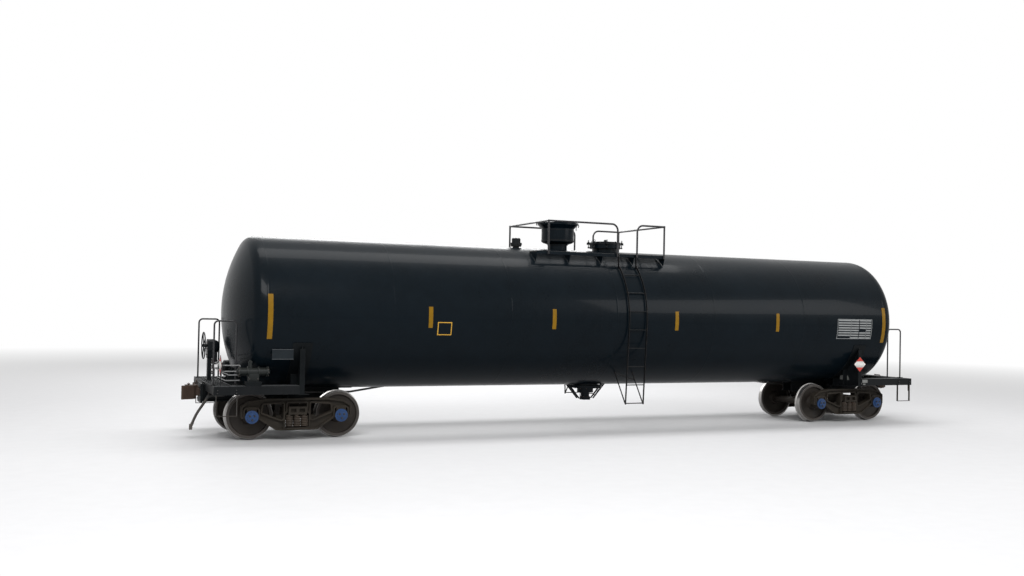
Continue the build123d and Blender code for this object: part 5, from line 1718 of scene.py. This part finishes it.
    def _case_bolts(self) -> Piece:
        """The bolts of the gear case's face."""
        x, y, z = self.case
        return hex_heads("case_bolts", [((x - 0.06, y + dy, z + dz), BACK) for dy, dz in self.case_bolts], 0.012, 0.01)

    def _gear_cover(self) -> Piece:
        """The deep cover over the hand brake's gears, on the tank's side of its case.

        Returns:
            The cover.
        """
        x, y, z = self.case
        cover = turned("cover", [*self.cover], (x + 0.05, y, z + 0.02), AHEAD, 40)
        lug = slab("lug", (x + 0.05, y - 0.09, z - 0.34), (x + 0.14, y + 0.09, z - 0.08), 0.012)
        return united("gear_cover", [cover, lug])

    def _valve_block(self) -> Piece:
        """The pipe bracket block under the control valve, on the side sill's flange."""
        x, y, _ = self.valve
        return slab("valve_block", (x - 0.17, y - 0.24, 1.09), (x + 0.12, y - 0.05, 1.2), 0.006)

    def _crank(self) -> Piece:
        """The hand brake's release handle.

        Returns:
            The handle.
        """
        x, y, z = self.case
        line = [(x, y + 0.1, z + 0.02), (x, y + 0.16, z + 0.02), (x, y + 0.16, z - 0.16)]
        return bent_rod("release_handle", line, 0.009)

    def _board(self) -> Piece:
        """The blank routing board on the tank's side, with its brackets.

        Returns:
            The board and its brackets.
        """
        left, right, low, high = self.board
        y = self.board_y
        pieces = [slab("board", (left, y - self.board_thickness, low), (right, y, high))]
        for x in (left + 0.05, right - 0.08):
            for z, reach in ((low + 0.03, 0.16), (high - 0.05, 0.03)):
                pieces.append(slab("bracket", (x, y, z), (x + 0.03, y + reach, z + 0.006), 0.001))
        return united("route_board", pieces)

    def _board_edges(self) -> Piece:
        """The worn upper and lower rims of the routing board.

        Returns:
            The rims.
        """
        left, right, low, high = self.board
        y, width = self.board_y - self.board_thickness, 0.012
        return united("board_rim", [slab("rim", (left, y - 0.006, start), (right, y, start + width), 0.001)
                                    for start in (high - width, low)])


# Details of the top and the ladder


@dataclass(frozen=True)
class TopFittings(Assembly):
    """The eyebolts, latches and bolts of the manway, the valve housing and the relief valve."""

    manway: Point = (0.5, 0.0, 4.2903)
    bolt_circle: float = 0.394
    bolts: int = 8
    bolt_foot: float = 4.155
    housing: Point = (-0.757, 0.0, 4.6803)
    bands: tuple[tuple[float, float, float, Span], ...] = ((4.262, 0.379, 0.04, (0.003, 0.005)),
                                                           (4.52, 0.377, 0.02, (0.002, 0.003)))
    lid_radius: float = 0.48
    hook: tuple[Span, ...] = ((-0.1, 0.012), (0.02, 0.012), (0.062, -0.004), (0.07, -0.03), (0.052, -0.062))
    neck_bolts: Span = (4.2, 0.24)
    hinges: tuple[tuple[Point, float], ...] = (((0.5, 0.47, 4.2653), 0.085), ((-0.757, 0.52, 4.6803), 0.071))
    relief: Point = (-1.81, 0.0, 4.29)
    relief_bolts: float = 0.078

    def build(self) -> list[Piece]:
        """Builds the small gear of the top fittings.

        Returns:
            The finished pieces.
        """
        rows = ((self._eye_nuts(), "fitting_paint", "manway_cover"), (self._swing_bolts(), "fitting_paint"),
                (self._housing_bands(), "fitting_paint"), (self._latches(), "fitting_paint", "housing_lid"),
                (self._seal_loop(), "rusty_steel"), (self._top_bolts(), "fitting_paint"),
                (self._relief_rim(), "fitting_paint"))
        return [self.add(*row) for row in rows]

    def _bolt_spots(self, z: float) -> list[Spot]:
        """The places of the manway's bolts at a height."""
        return around((*self.manway[:2], z), self.bolt_circle, self.bolts, UP, 180.0 / self.bolts)

    def _eye_nuts(self) -> Piece:
        """The eye nuts that clamp the manway cover.

        Returns:
            The eye nuts.
        """
        top = self.manway[2]
        eyes = [eye("eye", place, 0.02, 0.006, AHEAD if index % 2 else (0, 1, 0))
                for index, (place, _) in enumerate(self._bolt_spots(top + 0.036))]
        return united("manway_eye_nuts", [hex_heads("nuts", self._bolt_spots(top), 0.021, 0.018), *eyes])

    def _swing_bolts(self) -> Piece:
        """The bolts' shanks and the lugs that hold them to the neck's flange.

        Returns:
            The shanks and the lugs.
        """
        pieces = []
        middle, reach, bar, rim = Vector((*self.manway[:2], 0)), 0.04, 0.012, 0.0024
        for place, _ in self._bolt_spots(self.bolt_foot):
            pieces.append(hoop("shank", place, 0.01, 0.078, (0.002, 0.001), sides=12))
            pieces.append(hoop("lug", place, 0.019, 0.03, (0.003, 0.002), sides=12))
            x, y, z = place
            inward = (middle - Vector((x, y, 0))).normalized()
            pieces.append(hoop("arm", (x, y, z + 0.015), bar, reach, (rim, rim), tuple(inward), 8))
        return united("manway_swing_bolts", pieces)

    def _housing_bands(self) -> Piece:
        """The reinforcing bands round the valve housing.

        Returns:
            The bands.
        """
        x, y, _ = self.housing
        return united("housing_bands", [hoop("band", (x, y, z), radius, width, rim, sides=96)
                                        for z, radius, width, rim in self.bands])

    def _latches(self) -> Piece:
        """The hooked latches at both ends of the housing's lid, each with its plate.

        Returns:
            The latches.
        """
        x, y, z = self.housing
        radius, half = self.lid_radius, 0.045
        hooks = []
        for facing in (-1, 1):
            line = [(x + facing * (radius + out), y, z + rise) for out, rise in self.hook]
            hooks.append(bent_rod("hook", line, 0.01, 0.02))
            start, stop = sorted(x + facing * (radius + out) for out in (-0.14, 0.012))
            hooks.append(slab("latch_plate", (start, y - half, z + 0.0085), (stop, y + half, z + 0.0165)))
        return united("lid_latches", hooks)

    def _seal_loop(self) -> Piece:
        """The locking pin's short chain at the housing's rim."""
        x, y, z = self.housing
        return chain("locking_pin_chain", (x + self.lid_radius - 0.008, y - 0.02, z - 0.03), 0.13, 0.014, 0.0035)

    def _top_bolts(self) -> Piece:
        """The bolts of the housing's neck, the hinge pins and the relief valve.

        Returns:
            The bolts.
        """
        height, circle = self.neck_bolts
        spots = around((*self.housing[:2], height), circle, 12, UP, 15.0)
        spots += around(self.relief, self.relief_bolts, 6, UP)
        for (x, y, z), half in self.hinges:
            spots += [((x - half, y, z), BACK), ((x + half, y, z), AHEAD)]
        return hex_heads("top_bolts", spots, 0.014, 0.014)

    def _relief_rim(self) -> Piece:
        """The lip of the relief valve's bell and the rain cap on its top.

        Returns:
            The lip and the cap.
        """
        x, y, z = self.relief
        lip = hoop("lip", (x, y, z - 0.148), 0.136, 0.018, (0.004, 0.004), sides=48)
        return united("relief_valve_rim", [lip, knob("cap", self.relief, 0.05, 0.014, (0.006, 0.02), sides=32)])


@dataclass(frozen=True)
class PlatformFittings(Assembly):
    """The bolts of the railing, the platform and the ladders, and the ladders' cross braces."""

    post_y: float = 1.0843
    post_x: tuple[float, ...] = (-1.5, 0.238, 0.749, 1.469)
    post_z: Span = (3.93, 3.968)
    stile_x: Span = (0.267, 0.72)
    stile_face: float = 1.0923
    brace: Point = (0.49, 0.006, 0.04)
    brace_centre: Point = (0.4935, -1.09, 1.2)
    brace_tilt: float = 17.0

    def build(self) -> list[Piece]:
        """Builds the platform's small gear on both sides."""
        return [self.add(self._bolts(), "grating_steel"), self.add(self._braces(), "ladder_paint")]

    def _bolts(self) -> Piece:
        """The bolts through the railing's posts and the ladders' tops.

        Returns:
            The bolts.
        """
        rows = ((self.post_x, self.post_y), (self.stile_x, self.stile_face))
        spots = [((x, side.value * face, z), (0, side.value, 0))
                 for side in Side for places, face in rows for x in places for z in self.post_z]
        return hex_heads("platform_bolts", spots, 0.012, 0.011)

    def _braces(self) -> Piece:
        """The flat diagonal braces across the ladders' feet.

        Returns:
            The braces.
        """
        half = Vector(self.brace) / 2
        near = slab("brace", tuple(-half), tuple(half), 0.001)
        tilt = Matrix.Rotation(math.radians(self.brace_tilt), 4, "Y")
        near.matrix_world = Matrix.Translation(self.brace_centre) @ tilt
        return united("ladder_braces", with_mirrored([settle(near, "ladder_brace")]))


@dataclass(frozen=True)
class OutletFittings(Assembly):
    """The bolts, the handle and the cap chain of the bottom outlet."""

    centre_x: float = 0.035
    saucer: float = 0.36
    saucer_low: float = 0.884
    flange: float = 0.112
    flange_top: float = 0.66
    handle: tuple[Span, ...] = ((0.09, 0.74), (0.2, 0.74), (0.24, 0.7), (0.3, 0.7))
    chain_top: Point = (-0.112, 0.03, 0.78)

    def build(self) -> list[Piece]:
        """Builds the outlet's small gear.

        Returns:
            The finished pieces.
        """
        x = self.centre_x
        spots = around((x, 0, self.saucer_low), self.saucer, 16, DOWN)
        spots += around((x, 0, self.flange_top), self.flange, 8, UP)
        bolts = hex_heads("outlet_bolts", spots, 0.014, 0.014)
        handle = bent_rod("outlet_handle", [(x + out, 0, z) for out, z in self.handle], 0.011)
        out, y, z = self.chain_top
        hang = chain("cap_chain", (x + out, y, z), 0.14, 0.012, 0.003)
        return [self.add(piece, "rusty_steel") for piece in (bolts, handle, hang)]


def main() -> None:
    """Builds the dressed car, assembly by assembly."""
    logging.basicConfig(level=logging.INFO, format="%(message)s")
    bpy.context.scene.view_settings.view_transform = "Standard"
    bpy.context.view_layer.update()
    PhotoCamera().build()
    palette = Palette()
    assemblies = [AirHose(palette, end) for end in End]
    Studio().build()
    log.info("dressed %d CAD nodes", CadDress(palette).build())
    assemblies += [part(palette) for part in (TankShell, TopFittings, PlatformFittings, OutletFittings, BrakeFittings)]
    for end in End:
        assemblies += [EndFittings(palette, end), TruckSprings(palette, end)]
        assemblies += [AxleEnds(palette, end, number) for number in (1, 2)]
    for assembly in assemblies:
        for piece in assembly.build():
            log.info("%s: %s", type(assembly).__name__, piece.name)


if __name__ == "__main__":
    main()
